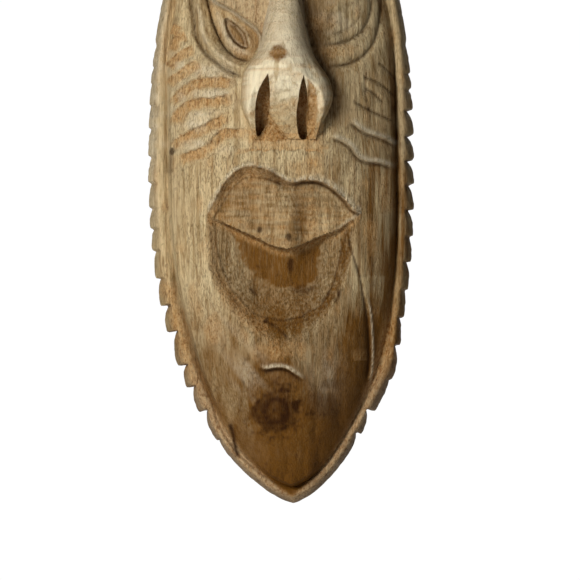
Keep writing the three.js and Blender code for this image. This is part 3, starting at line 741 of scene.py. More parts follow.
def nostril_cutter(name, outline):
    """A nostril's outline pushed into the underside of the nose, with walls left rough by the knife."""
    path = flowing([*outline, outline[0]], 6)[:-1]
    x, h = path.T
    rings = []
    for k, t in enumerate(np.linspace(0, 1, NOSTRIL_RINGS)):
        wobble = NOSTRIL_ROUGHNESS * wander(50 + k % 3, np.arange(len(path)) / 2, h * 0 + k / 2)
        depth = (underside(h) - NOSTRIL_DEPTH) * (1 - t) + NOSTRIL_MOUTH * t
        rings.append(place(x + wobble, depth, h))
    middle_x, middle_h = path.mean(0)
    ends = np.array([underside(middle_h) - NOSTRIL_DEPTH, NOSTRIL_MOUTH])
    return capped_tube(name, rings, place(np.full(2, middle_x), ends, np.full(2, middle_h)))


# ---- Back ----

# The bowl's middle height, its half width, depth and half height, and how square it is (2 is an ellipsoid)
HOLLOW_H = 180
HOLLOW_HALF = (66, 34, 144)
HOLLOW_SQUARE = 2.6
HOLLOW_ROWS, HOLLOW_COLUMNS = 26, 96
# The ring's bar, below the hook
PIVOT_Z = -15.75
# Seats let into the back: width, depth, and from how far below the bar to how far above it
STRAP_SEAT = (26, 7, -39, 6)
RING_WELL = (30, 14, -4, 30)
BEHIND_WALL = 5


def hollow_mesh():
    """A squared bowl with the ripple of a gouge worked across it."""
    wide, deep, tall = HOLLOW_HALF
    lat = np.linspace(-np.pi / 2, np.pi / 2, HOLLOW_ROWS)[1:-1, None]
    lon = np.linspace(0, 2 * np.pi, HOLLOW_COLUMNS, endpoint=False)[None]
    power = 2 / HOLLOW_SQUARE
    radius = np.cos(lat) ** power
    y = np.sign(np.sin(lat)) * np.abs(np.sin(lat)) ** power
    ripple = 1 + 0.018 * wander(61, 9 * np.cos(lon) * radius + 20, 16 * np.sin(lon) * radius + 20)
    x = wide * radius * np.cos(lon) * ripple
    h = HOLLOW_H + tall * radius * np.sin(lon) * ripple
    depth = np.broadcast_to(-deep * y, x.shape) * ripple
    poles = place(np.zeros(2), np.array([deep, -deep]), np.full(2, HOLLOW_H))
    return capped_tube("hollow_cutter", place(x, depth, h), poles)


def box_mesh(name, low, high):
    corners = np.array(list(itertools.product(*zip(low, high))), float)
    quads = [(0, 1, 3, 2), (4, 6, 7, 5), (0, 4, 5, 1), (2, 3, 7, 6), (0, 2, 6, 4), (1, 5, 7, 3)]
    piece = make_mesh(name, corners * MM, quads)
    weld(piece)
    return piece


def seat_cutter(name, seat):
    width, depth, foot, top = seat
    return box_mesh(name, (-width / 2, -depth, PIVOT_Z + foot), (width / 2, BEHIND_WALL, PIVOT_Z + top))


def combine(piece, tool, operation):
    step = piece.modifiers.new("combine", "BOOLEAN")
    step.operation = operation
    step.solver = "MANIFOLD"
    step.object = tool
    bpy.context.view_layer.update()
    result = bpy.data.meshes.new_from_object(piece.evaluated_get(bpy.context.evaluated_depsgraph_get()))
    piece.modifiers.clear()
    piece.data = result
    bpy.data.objects.remove(tool)


# ---- Where the wood is stained, dark or pale, and where shade and highlights are painted ----


SOCKET = ((-30, 335), (-44, 329.5), (-24, 316), (-17, 310), (-15, 303), (-10, 310), (-8, 330), (-8, 350))
FOLD = ((-24, 238), (0, 240), (24, 238.5))  # where the nose meets the lip's upper wall
STAIN = (-2.8, 293, 6, 5.6)  # its middle, and its half width and half height
STAIN_SEED = 101
CORE_RING = (
    (-33, 176), (-26.2, 158.9), (-15.8, 147.3), (-2.8, 140.8), (11.5, 140.8), (23.1, 150.5), (26, 170),
)
CORE = (*CORE_RING, (28, 190), (-36, 190))
LOWER_RING = (
    (-46, 189), (-44, 176), (-41.1, 158.9), (-35.9, 146), (-27.5, 134.3), (-18.4, 125.8), (-6.7, 122),
    (6.3, 122), (16.7, 126.5), (25.7, 132.3), (32.2, 144), (36.1, 158.9), (39.4, 173.2), (42.6, 184.9),
)


# Spots of each tone: strength, middle, half width and half height, and seed
TAN_SPOTS = (
    (0.5, 33, 296, 16, 4, 77), (0.4, 24, 315, 9, 5, 78), (0.6, -46, 116, 5, 11, 79), (0.5, 0, 103, 16, 6, 80),
    (0.45, 14, 219, 12, 7, 85),
)
# The knot, and under the chin's ledge a reddish-brown patch that is partly painted shade
BROWN_SPOTS = ((1, *KNOT, 68), (0.7, -1, 80, 13, 8, 69))
# The first one darkens the patch under the chin's ledge as painted shade
DARK_SPOTS = (
    (0.18, -1, 80, 12, 6, 71), (0.35, 31, 80, 8, 4, 81), (0.3, 22, 66, 14, 8, 82), (0.45, 13, 141, 8, 3, 74),
)
# Holes of wood-boring insects and small dark specks
DARK_SPECKS = (
    (0.85, 4.8, 157, 1.7, 4.2, 73), (0.85, -15.1, 179.7, 1.6, 2.0, 73), (0.85, 3.7, 175.2, 2.0, 2.6, 73),
    (0.85, -11.2, 120.7, 1.9, 1.9, 73), (0.9, -73, 231.3, 1.8, 2.2, 75),
)
# Scraped cream wood between the cuts of the left cheek
CREAM_SPOTS = (
    (0.4, -47, 283, 11, 4, 76), (0.4, -48, 268.5, 12, 3, 76), (0.4, -55, 251, 7, 6, 76),
    (0.4, -59, 236, 9, 3, 76), (0.4, -68, 288, 4, 3, 76), (0.4, -66, 266, 3, 4, 76),
)
# Dark lines: strength, line, half width, and the share of it over which each end fades
DARK_LINES = (
    (0.85, ((-22, 142.5), (-17, 136.5)), 1.2, 0.2),
    (0.6, ((24, 132), (31, 141)), 0.9, 0.2),
    (0.7, ((33, 131), (38, 143)), 1.1, 0.2),
    (0.7, ((-11, 120), (-4, 116), (6, 107)), 1.0, 0.2),
    (0.5, ((-73, 230), (-74, 216)), 1.9, 0.2),
    # From here on: painted shade along the cuts of the eyes, the gouge, the split and the knife cuts
    (0.6, ORBIT_LEFT, 0.9, 0.1), (0.65, LID_LOW, 0.9, 0.1), (0.9, SLIT_LOW, 0.9, 0.1),
    (0.5, SLIT_HIGH, 0.7, 0.1), (0.6, ORBIT_RIGHT, 1.2, 0.1), (0.5, RIGHT_LID_LOW, 1.1, 0.1),
    (0.3, RIGHT_ARC, 0.9, 0.1), (0.95, GOUGE, 1.5, 0.1), (0.5, RIGHT_SPLIT, 0.7, 0.1), (0.4, LASH, 0.7, 0.1),
    *((0.75, cut, 0.8, 0.1) for cut in RIGHT_CUTS),
)
# Only the nose stands further off the wall than this
FACE_BELOW_DEPTH = 62


def blot(x, h, cx, ch, rx, rh, seed):
    """A soft-edged uneven spot."""
    wobble = 1 + 0.3 * wander(seed, x / 4, h / 4) + 0.15 * wander(seed + 1, x / 1.5, h / 1.5)
    return smooth(1.3, 0.6, np.hypot((x - cx) / rx, (h - ch) / rh) * wobble)


def blots(table, x, h):
    """Spots from a table of strength, middle, half width, half height and seed."""
    return sum(strength * blot(x, h, *spot) for strength, *spot in table)


def line_mark(line, x, h, width, ends):
    d, _, along = near(line, x, h)
    return bell(d / width) * tapered(along, ends)


def uneven(seed, u, v, middle, swing):
    """A patchy share from 0 to 1."""
    return np.clip(middle + swing * wander(seed, u, v), 0, 1)


def inside_nostrils(x, h, depth):
    """1 on the walls and floors of the two nostrils."""
    found = np.zeros(x.shape, bool)
    for outline in (NOSTRIL_LEFT, NOSTRIL_RIGHT):
        beside, _, _ = near((*outline, outline[0]), x, h, 4)
        found |= inside(outline, x, h) | (beside < 0.6)
    return found * (depth < underside(h) - 0.8) * (depth > 40)


def rough_cuts(x, h, depth):
    """1 in the rough-cut hollows beside the nostrils."""
    return (depth > 45) * (hollow_beside(RAMP, x, h, 1.0) + hollow_beside(BAND, x, h, 1.0))


def nose_shadow_strip(x, h, breadth, top):
    """A painted shadow in a strip down the right of the nose."""
    return bell((x - 35 + (h - 240) * 0.22) / breadth) * smooth(236, 262, h) * smooth(top, 325, h)


def scraped_chin(x, h):
    """A paler scraped patch on the right of the chin."""
    return bell((x - 27) / 9, (h - 84) / 16)


def tan_marks(x, h, depth, inset):
    """Freshly cut or yellowish wood."""
    tan = np.zeros(x.shape)
    for k in range(len(LEFT_CUTS)):
        floor, offset = left_cut(k, x, h)
        patchy = 0.9 + 0.4 * wander(80 + k, x / 3.5, h / 5)
        tan = np.maximum(tan, floor * smooth(-5.5, -2.0, offset) * patchy * 1.2)
    tan += blots(TAN_SPOTS, x, h)
    tan += 0.45 * inside(SOCKET, x, h) + 0.35 * between(LID_LOW, LID_HIGH, x, h)
    # The rim, most of all low down
    tan += 0.85 * smooth(15, 10, inset) * smooth(2, 6, inset) * smooth(170, 110, h)
    tan += 0.3 * smooth(12, 4, inset) * (0.5 + 0.5 * wander(90, x / 5, h / 30))
    # The wall round the upper lip, the lip's face, and the scoop's left side and top
    top, edge, foot, within, d_top, inward = mouth_parts(x, h)
    lip = within & (h < top + 0.5) & (h > edge)
    tan += 0.95 * lip * smooth(1.25, 0.9, d_top / lip_wall_width(x))
    tan += lip * (0.12 + 0.3 * smooth(9, 0, h - edge) + 0.45 * wander(87, x / 9, h / 1.4))
    scoop = within & (h <= edge) & (h > foot)
    tan += 0.6 * scoop * smooth(16, 9, inward) * smooth(0, 4, inward) * (x < -10)
    tan += 0.8 * scoop * smooth(7, 2, edge - h)
    # The underside of the nose
    on_nose = (depth > 58) & (depth < underside(h) + 2.5)
    tan += 0.7 * rough_cuts(x, h, depth) + inside_nostrils(x, h, depth)
    tan += 0.5 * on_nose * smooth(250, 240, h) * (np.abs(x - 2) < 24)
    tan += 0.6 * on_nose * uneven(104, x / 9, h / 1.7, 0.25, 1)
    tan += 0.7 * line_mark(FOLD, x, h, 1.8, 0.05)
    # Yellowish blotches are scattered over the whole face
    scattered = uneven(121, x / 6, h / 14, -0.7, 2) * (depth < FACE_BELOW_DEPTH) * (h > 95)
    return tan + 0.5 * scattered * ~scoop


def brown_marks(x, h, depth, inset):
    """Broad brown heartwood and staining, with painted shade beside the nose and in the right rim's groove.
    """
    top, edge, foot, within, d_top, inward = mouth_parts(x, h)
    on_face = depth < FACE_BELOW_DEPTH
    # The log's heartwood core is bared in the scoop, with a fainter ring round it
    scoop = within & (h <= edge) & (h > foot - 4)
    d_core, _, _ = near(CORE_RING, x, h, 20)
    core = np.where(inside(CORE, x, h) & scoop, smooth(0, 4, d_core + 2 * wander(105, x / 3, h / 3)), 0)
    brown = (0.85 + 0.12 * smooth(22, 6, edge - h)) * core
    d_ring, side, _ = near(LOWER_RING, x, h, 30)
    brown += 0.25 * scoop * bell((d_ring - 2) / 3) * (side < 0)
    brown += scoop * smooth(2, 8, inward) * smooth(-47, -36, x) * (0.42 + 0.35 * wander(91, x / 1.1, h / 1.1))
    # The chin is brown, more so to the right and low down
    to_right = smooth(-42, 4, x + (h - 60) * 0.25) * (0.8 + 0.5 * wander(93, x / 12, h / 16))
    brown += (0.85 - 0.6 * scraped_chin(x, h)) * smooth(118, 72, h) * to_right
    brown += 0.6 * smooth(152, 108, h) * (0.8 + 0.5 * wander(92, x / 3.5, h / 12)) * smooth(9, 15, inset)
    brown += blots(BROWN_SPOTS, x, h)
    brown += 0.35 * smooth(40, 12, h) * smooth(7, 12, inset)
    brown += 0.25 * smooth(12, 8, inset) * smooth(190, 140, h) * uneven(106, x / 2.2, h / 3.5, 0.15, 1)
    # Painted shade in the deep groove of the rim down the right
    in_groove = smooth(0, 30, x) * smooth(17, 13.5, inset) * smooth(9, 11.5, inset)
    brown += 0.8 * in_groove * (0.7 + 0.5 * wander(99, x / 3, h / 9))
    # Upright brown streaks down the right side
    streaks = np.clip(0.35 + 0.8 * wander(94, x / 2.6, h / 46) + 0.5 * wander(95, x / 1.2, h / 30), 0, 1)
    brown += smooth(26, 58, x) * smooth(285, 150, h) * streaks * 0.85
    brown += 0.3 * smooth(14, 30, x) * smooth(235, 215, h) * (h > top) * streaks
    brown += smooth(35, 45, x) * smooth(150, 100, h) * 0.7 + 0.3 * smooth(52, 62, x) * smooth(195, 165, h)
    brown += 0.2 * smooth(20, 50, x) * (h > 150) * smooth(300, 285, h)
    # The upper lip and the wall above it
    wall = lip_wall_width(x)
    lip = within & (h < top) & (h > edge) & (d_top > wall)
    left, right = smooth(10, -30, x), smooth(16, 24, x)
    bulge = bell((x - 12) / 7, (h - 189) / 16)
    brown += lip * (0.36 - 0.22 * right + 0.26 * left + 0.55 * bulge + 0.25 * wander(86, x / 9, h / 1.3))
    lip_wall = within & (h < top) & (d_top < wall)
    brown += 0.35 * lip_wall * (1 + wander(107, x / 1.4, h / 1.8)) * (x < 3)
    # The rough cuts, the nostrils, the stain above the nose's tip and the shade beside the nose
    brown += rough_cuts(x, h, depth) * (0.75 + 0.6 * wander(100, x / 1.2, h / 1.6))
    brown += 0.6 * inside_nostrils(x, h, depth)
    brown += 0.98 * blot(x, h, *STAIN, STAIN_SEED) * (depth > 66)
    brown += 0.7 * nose_shadow_strip(x, h, 10, 350) * on_face
    # The eye's lens and its corner towards the nose are browner
    slit = between(SLIT_LOW, SLIT_HIGH, x, h)
    round_slit = between(LID_LOW, LID_HIGH, x, h) * ~slit
    return brown + 0.72 * slit + 0.36 * round_slit * smooth(-34, -22, x) * smooth(320, 308, h)


def dark_marks(x, h, depth):
    """The knot, cracks, holes, and painted shade in sharp grooves, creases and hollows."""
    top, edge, _, within, d_top, _ = mouth_parts(x, h)
    on_face = depth < FACE_BELOW_DEPTH
    r = from_knot(x, h)
    rings = 0.84 + 0.12 * np.sin(r * 1.1 + 2 * wander(96, x / 5, h / 5)) - 0.2 * bell(r / 4)
    rings += 0.12 * wander(98, x / 2, h / 2)
    dark = blot(x, h, *KNOT, KNOT_SEED) * rings
    dark += 0.3 * smooth(-12, 22, x) * smooth(92, 60, h) * (0.7 + 0.9 * wander(88, x / 7, h / 18))
    # Painted shadow of the nose, down its right side
    dark += 0.4 * nose_shadow_strip(x, h, 8, 345) * on_face
    dark += blots(DARK_SPOTS, x, h) + blots(DARK_SPECKS, x, h)
    # Sparse specks and short scratches of old dirt
    dark += 0.55 * uneven(120, x / 1.2, h / 3, -1.45, 2.4) * on_face
    for strength, line, width, ends in DARK_LINES:
        dark += strength * line_mark(line, x, h, width, ends)
    # Painted shade in the cut under each ridge
    for ridge in RIGHT_RIDGES:
        d, side, along = near(ridge, x, h)
        dark += 0.75 * bell((d * side + 0.6) / 0.9) * tapered(along, 0.1)
    # Growth rings round the scoop
    d, side, along = near(LOWER_RING, x, h, 20)
    waver = 0.8 * wander(109, x / 4, h / 4)
    for offset, strength in ((0, 0.6), (3.2, 0.35)):
        ring = bell((d * side + waver + offset) / 0.7) * tapered(along, 0.04)
        dark += strength * ring * within * (h < edge)
    # Painted shade down the crack and beside it, and under the edge of the chin's ledge
    d, side, along = near(CRACK, x, h)
    dark += 0.9 * bell(d * side / (0.7 + 0.4 * smooth(0.4, 0.8, along))) * tapered(along, 0.1)
    dark += 0.12 * smooth(0.55, 0.85, along) * bell((d * side + 2) / 5) * (d < 15)
    d, side, along = near(LEDGE, x, h, 34)
    dark += 0.7 * bell((d - 1.4) / 1.5) * (side < 0) * tapered(along, 0.15)
    # Painted shade under the lip's edge, and on the wall above its face, most at its top and its foot
    dark += 0.45 * within * bell((edge - h - 0.7) / 0.9) * (h < edge) * smooth(16, -20, x)
    lip = within & (h < top + 0.5) & (h > edge)
    wall = lip_wall_width(x)
    right_line = 0.95 * bell((d_top - 1.7) / 1.2) * smooth(0, 12, x)
    dip = 0.6 * bell((d_top - 3.4) / 2.2) * bell((x + 6) / 12) * (0.8 + 0.5 * wander(89, x / 1.6, h / 1.6))
    left_line = 0.6 * bell((d_top - 0.7) / 1.1) * smooth(6, 0, x)
    left_line *= 0.8 + 0.6 * wander(102, x / 1.5, h / 1.5)
    wall_foot = 0.7 * bell((d_top - wall) / 0.9) * smooth(4, -4, x) * (0.9 + 0.4 * wander(108, x / 2, h / 2))
    dark += lip * (right_line + dip + left_line + wall_foot)
    for k in range(len(LEFT_CUTS)):
        floor, offset = left_cut(k, x, h)
        dark += 0.55 * floor * bell((offset - 2.4) / 0.9) * uneven(110 + k, x / 1.8, h / 1.2, 0, 1.6)
    # Painted shade, deeper inside the nostrils
    return dark + 0.3 * inside_nostrils(x, h, depth) * smooth(4, 11, underside(h) - depth)


def pale_marks(x, h, inset):
    """Painted highlights on the edges that stand out, worn or scraped wood, and the pale bridge of the nose.
    """
    top, edge, _, within, d_top, _ = mouth_parts(x, h)
    pale = blots(CREAM_SPOTS, x, h)
    # Painted highlight along each ridge's crest on the right cheek
    for ridge in RIGHT_RIDGES:
        d, side, along = near(ridge, x, h)
        pale += 0.9 * bell((d * side - 2.4) / 1.6) * tapered(along, 0.1)
    # The eye: painted highlights along the lid's crest, the carved bands' ridges and the slit's edges, and
    # paler wood in the socket
    pale += 1.2 * line_mark(LID_HIGH, x, h, 0.8, 0.08) + 0.25 * inside(SOCKET, x, h)
    for line in (ORBIT_LEFT, LID_LOW):
        d, side, along = near(line, x, h)
        patchiness = uneven(122, x / 5, h / 5, 0.8, 0.8)
        pale += 0.55 * bell((d * side - 4.6) / 1.5) * tapered(along, 0.1) * patchiness
    for line in (SLIT_LOW, SLIT_HIGH):
        d, _, along = near(line, x, h)
        pale += 0.5 * bell((d - 1.3) / 0.6) * tapered(along, 0.1)
    # The torn line of the upper lip, and the right end of its lower edge
    ragged = 0.6 + 0.6 * wander(97, x / 0.8, h / 2.2)
    pale += ragged * within * smooth(3.4 + 2.4 * smooth(10, 20, x), 0.8, d_top) * (h > top - 0.4)
    pale += 0.5 * within * bell((h - edge - 1.2) / 1.2) * smooth(30, 40, x)
    # Between the cuts of the left cheek
    in_cut = np.max([left_cut(k, x, h)[0] for k in range(len(LEFT_CUTS))], 0)
    left_cheek = smooth(-24, -36, x) * smooth(226, 234, h) * smooth(304, 290, h) * (1 - in_cut)
    pale += 0.35 * left_cheek * uneven(103, x / 6, h / 4, 0.6, 0.7)
    # Painted highlight on the lip of the crack
    d, side, along = near(CRACK, x, h)
    pale += 0.9 * bell((d * side - 3.0) / 0.6) * smooth(0.5, 0.6, along) * tapered(along, 0.1)
    # The rim
    pale += 0.5 * (x < 0) * smooth(8, 3, inset) * smooth(150, 230, h)
    pale += 0.3 * smooth(13, 10, inset) * smooth(110, 60, h)
    # The whole bridge of the nose is pale
    left, right, _ = nose_columns(h)
    on_bridge = smooth(left - 0.5, left + 0.8, x) * smooth(right + 0.5, right - 0.8, x)
    unstained = 1 - blot(x, h, *STAIN, STAIN_SEED)
    pale += 0.75 * on_bridge * smooth(285, 296, h) * smooth(350, 335, h) * unstained
    # Slanting scrapes across the left of the chin, a painted highlight along the top of its ledge, and a
    # patch in the right eye's hollow
    slanting = 0.5 + 0.9 * wander(83, (x + 0.85 * h) / 5, (h - 0.85 * x) / 26)
    slanting *= 1 - blot(x, h, *KNOT, KNOT_SEED)
    pale += 0.5 * bell((x + 30 + (h - 100) * 0.45) / 14, (h - 96) / 26) * np.clip(slanting, 0, 1)
    d, side, along = near(LEDGE, x, h, 34)
    pale += 0.9 * bell((d - 1.2) / 1.2) * (side > 0) * tapered(along, 0.3)
    pale += 0.4 * scraped_chin(x, h) * uneven(123, x / 3, h / 14, 0.6, 0.9)
    return pale + 0.45 * bell((x - 38) / 14, (h - 318) / 16) * uneven(84, x / 6, h / 4, 0.5, 0.9)


def pore_marks(x, h):
    """Where the pores show most: in the scoop, above the lips and on the left cheek."""
    top, edge, foot, within, _, _ = mouth_parts(x, h)
    pores = (within & (h < edge) & ~inside(CORE, x, h)) * smooth(-4, 4, h - foot)
    pores += 0.8 * smooth(100, 106, h) * smooth(124, 116, h) * smooth(44, 30, np.abs(x))
    pores += 0.8 * (within & (h > top)) * smooth(238, 232, h)
    return pores + 0.7 * smooth(-24, -36, x) * smooth(205, 240, h) * smooth(304, 280, h) * (x > -76)


def marks(x, h, depth):
    """Tan, dark, pale, pore and brown shares of the colouring, each 0 to 1."""
    inset = half_width(h) - np.abs(x - lean(h))
    tan, brown = tan_marks(x, h, depth, inset), brown_marks(x, h, depth, inset)
    dark, pale, pores = dark_marks(x, h, depth), pale_marks(x, h, inset), pore_marks(x, h)
    return np.clip(np.stack([tan, dark, pale, pores, brown], -1), 0, 1)


def vertex_values(mesh, key):
    values = np.zeros(len(mesh.vertices) * 3)
    mesh.vertices.foreach_get(key, values)
    return values.reshape(-1, 3)


def paint_marks(piece):
    mesh = piece.data
    x, y, z = vertex_values(mesh, "co").T / MM
    depth = -y
    values = marks(x, z + HOOK_H, depth)
    # Nothing is drawn on the back or in the hollow behind
    front = smooth(6, 14, depth) * (vertex_values(mesh, "normal")[:, 1] < 0.35)
    values *= front[:, None]
    tones = mesh.attributes.new("tones", "FLOAT_COLOR", "POINT")
    tones.data.foreach_set("color", values[:, :4].astype(np.float32).ravel())
    # The brown share holds heartwood and stains, and the painted shade beside the nose and in the right
    # groove
    brown_and_shade = mesh.attributes.new("brown_and_shade", "FLOAT", "POINT")
    brown_and_shade.data.foreach_set("value", values[:, 4].astype(np.float32))


# ---- Materials ----


class Nodes:
    """A material's node tree, built a node at a time."""

    def __init__(self, name):
        self.material = bpy.data.materials.new(name)
        self.material.use_nodes = True
        self.tree = self.material.node_tree
        self.tree.nodes.clear()

    def add(self, kind, inputs=None, **settings):
        node = self.tree.nodes.new("ShaderNode" + kind)
        for key, value in settings.items():
            setattr(node, key, value)
        for key, value in (inputs or {}).items():
            if isinstance(value, bpy.types.NodeSocket):
                self.tree.links.new(value, node.inputs[key])
            else:
                node.inputs[key].default_value = value
        return node

    def math(self, operation, a, b=0.0, c=None, clamp=False):
        inputs = {0: a, 1: b} if c is None else {0: a, 1: b, 2: c}
        return self.add("Math", inputs, operation=operation, use_clamp=clamp).outputs[0]

    def mix(self, share, a, b, blend="MIX"):
        return self.add("Mix", {0: share, 6: a, 7: b}, data_type="RGBA", blend_type=blend).outputs[2]

    def paint(self, base, share, strength, colour):
        """A colour laid over the base by a share of it."""
        return self.mix(self.math("MULTIPLY", share, strength), base, (*colour, 1))

    def ramp(self, value, stops):
        node = self.add("ValToRGB", {0: value})
        elements = node.color_ramp.elements
        while len(elements) < len(stops):
            elements.new(0.5)
        for element, (at, colour) in zip(elements, stops):
            element.position = at
            element.color = (*colour, 1)
        return node.outputs[0]

    def fade(self, value, low, high, below=0.0, above=1.0):
        """A grey below one value that fades to another grey above the next."""
        return self.ramp(value, ((low, grey(below)), (high, grey(above))))

    def noise(self, vector, scale, detail=2.0, roughness=0.5):
        inputs = {"Vector": vector, "Scale": scale, "Detail": detail, "Roughness": roughness}
        return self.add("TexNoise", inputs).outputs[0]

    def grain(self, vector, upright, scale, detail=2.0, roughness=0.5):
        """Noise drawn out along the trunk: the smaller the upright scale, the longer its streaks."""
        drawn_out = self.add("Mapping", {"Vector": vector, "Scale": (1, 1, upright)}).outputs[0]
        return self.noise(drawn_out, scale, detail, roughness)


def grey(value):
    return (value, value, value)


# Wood colours
HEARTWOOD = (0.20, 0.10, 0.036)
MIDDLE_WOOD = (0.27, 0.165, 0.076)
OLIVE_WOOD = (0.37, 0.29, 0.165)
SAPWOOD = (0.575, 0.455, 0.265)
OUTER_SAPWOOD = (0.82, 0.72, 0.51)
TAN = (0.56, 0.31, 0.115)
BROWN = (0.15, 0.060, 0.006)
NEAR_BLACK = (0.032, 0.010, 0.002)
SCRAPED_AND_HIGHLIGHT = (0.72, 0.62, 0.44)
PORE = (0.12, 0.06, 0.016)
LATE_WOOD = (0.26, 0.15, 0.06)
CLOUD = (0.44, 0.27, 0.11)
DARK_FIBRE = (0.24, 0.13, 0.045)
TORN_DARK, TORN_LIGHT = (0.29, 0.125, 0.034), (0.66, 0.43, 0.20)
BROAD_STREAK, FINE_STREAK = (0.66, 0.58, 0.48), (0.66, 0.60, 0.50)

# The log's middle line, a little right of the mask's and behind its back, and the wood by distance from it
PITH_X, PITH_Y = 3.0, 25.0
SIDEWAYS_SHARE = 0.9
RING_SPACING = 4.6
OUTERMOST = 120.0
WOOD_BY_RADIUS = (
    (0.42, HEARTWOOD), (0.52, MIDDLE_WOOD), (0.61, OLIVE_WOOD), (0.69, SAPWOOD), (0.77, SAPWOOD),
    (0.86, OUTER_SAPWOOD),
)


def log_radius(n, millimetres):
    """Distance from the log's upright middle line, with the wandering of its rings."""
    x, y, z = n.add("SeparateXYZ", {0: millimetres}).outputs
    swirl = n.grain(millimetres, 0.25, 0.028)
    swirl_fine = n.grain(millimetres, 0.3, 0.11)
    dx = n.math("MULTIPLY", n.math("SUBTRACT", x, PITH_X), SIDEWAYS_SHARE)
    dy = n.math("SUBTRACT", y, PITH_Y)
    radius = n.math("SQRT", n.math("ADD", n.math("MULTIPLY", dx, dx), n.math("MULTIPLY", dy, dy)))
    radius = n.math("MULTIPLY_ADD", n.math("SUBTRACT", swirl, 0.5), 22.0, radius)
    radius = n.math("MULTIPLY_ADD", n.math("SUBTRACT", swirl_fine, 0.5), 5.0, radius)
    # The heartwood widens towards the chin
    low_down = n.add("MapRange", {0: z, 1: -195.0, 2: -320.0, 3: 0.0, 4: 9.0}).outputs[0]
    return n.math("SUBTRACT", radius, low_down)


def plain_wood(n, millimetres, radius, streak, ringed):
    """Heartwood to sapwood, with growth rings, broad clouding and upright streaks."""
    base = n.ramp(n.math("DIVIDE", radius, OUTERMOST), WOOD_BY_RADIUS)
    wave = n.math("SINE", n.math("MULTIPLY", radius, 2 * math.pi / RING_SPACING))
    ring = n.math("POWER", n.math("MULTIPLY_ADD", wave, 0.5, 0.5), 5.0)
    base = n.paint(base, ring, 0.14, LATE_WOOD)
    base = n.paint(base, n.fade(n.grain(millimetres, 0.3, 0.05, 3), 0.42, 0.66), 0.3, CLOUD)
    broad = n.grain(millimetres, 0.025, 0.28, 3, 0.6)
    broad_tone = n.ramp(broad, ((0.36, BROAD_STREAK), (0.5, grey(1.0)), (0.64, grey(1.12))))
    base = n.mix(0.9, base, broad_tone, "MULTIPLY")
    fibre_field = n.fade(n.grain(millimetres, 0.5, 0.045), 0.38, 0.6, 0.3)
    streak_tone = n.ramp(streak, ((0.36, FINE_STREAK), (0.5, grey(1.0)), (0.64, grey(1.2))))
    base = n.mix(n.math("MULTIPLY", fibre_field, ringed), base, streak_tone, "MULTIPLY")
    line = n.fade(n.grain(millimetres, 0.02, 0.62), 0.585, 0.63)
    return n.paint(base, n.math("MULTIPLY", line, ringed), 0.35, DARK_FIBRE)


def wood_material():
    n = Nodes("carved_wood")
    coord = n.add("TexCoord").outputs["Object"]
    millimetres = n.add("VectorMath", {0: coord, 3: 1 / MM}, operation="SCALE").outputs[0]
    radius = log_radius(n, millimetres)
    streak = n.grain(millimetres, 0.07, 1.0, 3, 0.6)
    # The pale wood of the nose, cut across its rings, shows hardly any streaks
    ringed = n.fade(n.math("DIVIDE", radius, OUTERMOST), 0.76, 0.85, 1.0, 0.12)
    base = plain_wood(n, millimetres, radius, streak, ringed)

    tones = n.add("Attribute", attribute_name="tones").outputs
    tan, dark, pale = n.add("SeparateColor", {0: tones["Color"]}).outputs
    brown_and_shade = n.add("Attribute", attribute_name="brown_and_shade").outputs["Fac"]
    patch = n.grain(millimetres, 0.5, 0.55, 4, 0.65)
    torn = n.grain(millimetres, 0.6, 0.6, 4, 0.7)

    # Short dark pores, in patches and where the tones ask for them
    pore_field = n.fade(n.grain(millimetres, 0.4, 0.09), 0.38, 0.58, 0.2)
    porous = n.math("MAXIMUM", n.math("MULTIPLY", pore_field, 0.7), tones["Alpha"])
    pore_noise = n.fade(n.grain(millimetres, 0.22, 1.7, 2, 0.6), 0.54, 0.63)
    pore = n.math("MULTIPLY", pore_noise, n.math("MULTIPLY", porous, ringed))

    fibrous = n.fade(streak, 0.35, 0.65, 1.0, 0.78)
    # Heartwood and stains, with painted shade beside the nose and in the right rim's groove
    brown_share = n.math("MULTIPLY", n.math("MULTIPLY", brown_and_shade, 1.1), fibrous, clamp=True)
    base = n.paint(base, brown_share, 0.95, BROWN)
    tan_share = n.math("MULTIPLY", tan, n.fade(patch, 0.3, 0.6, 0.5), clamp=True)
    tan_tone = n.ramp(torn, ((0.38, TORN_DARK), (0.48, TAN), (0.62, TORN_LIGHT)))
    base = n.mix(n.math("MULTIPLY", tan_share, 0.85), base, tan_tone)
    # Scraped and worn pale wood, and painted highlights on edges that stand out
    pale_share = n.math("MULTIPLY", pale, n.fade(torn, 0.36, 0.52, 0.35), clamp=True)
    base = n.paint(base, pale_share, 0.85, SCRAPED_AND_HIGHLIGHT)
    base = n.paint(base, pore, 0.6, PORE)
    # The knot, cracks and holes, and painted shade in grooves, creases and hollows
    dark_share = n.math("MULTIPLY", dark, n.fade(patch, 0.3, 0.5, 0.8), clamp=True)
    base = n.paint(base, dark_share, 0.95, NEAR_BLACK)

    height = n.math("MULTIPLY_ADD", streak, 0.5, n.math("MULTIPLY", pore, -0.4))
    height = n.math("MULTIPLY_ADD", patch, 0.45, height)
    height = n.math("MULTIPLY_ADD", n.math("MULTIPLY", torn, tan_share), 1.2, height)
    bump = n.add("Bump", {"Strength": 0.8, "Distance": 0.0015, "Height": height}).outputs[0]
    rough = n.math("MULTIPLY_ADD", dark_share, 0.12, n.fade(streak, 0.3, 0.7, 0.56, 0.42))
    look = {"Base Color": base, "Roughness": rough, "Normal": bump, "Specular IOR Level": 0.06}
    n.add("OutputMaterial", {"Surface": n.add("BsdfPrincipled", look).outputs[0]})
    return n.material


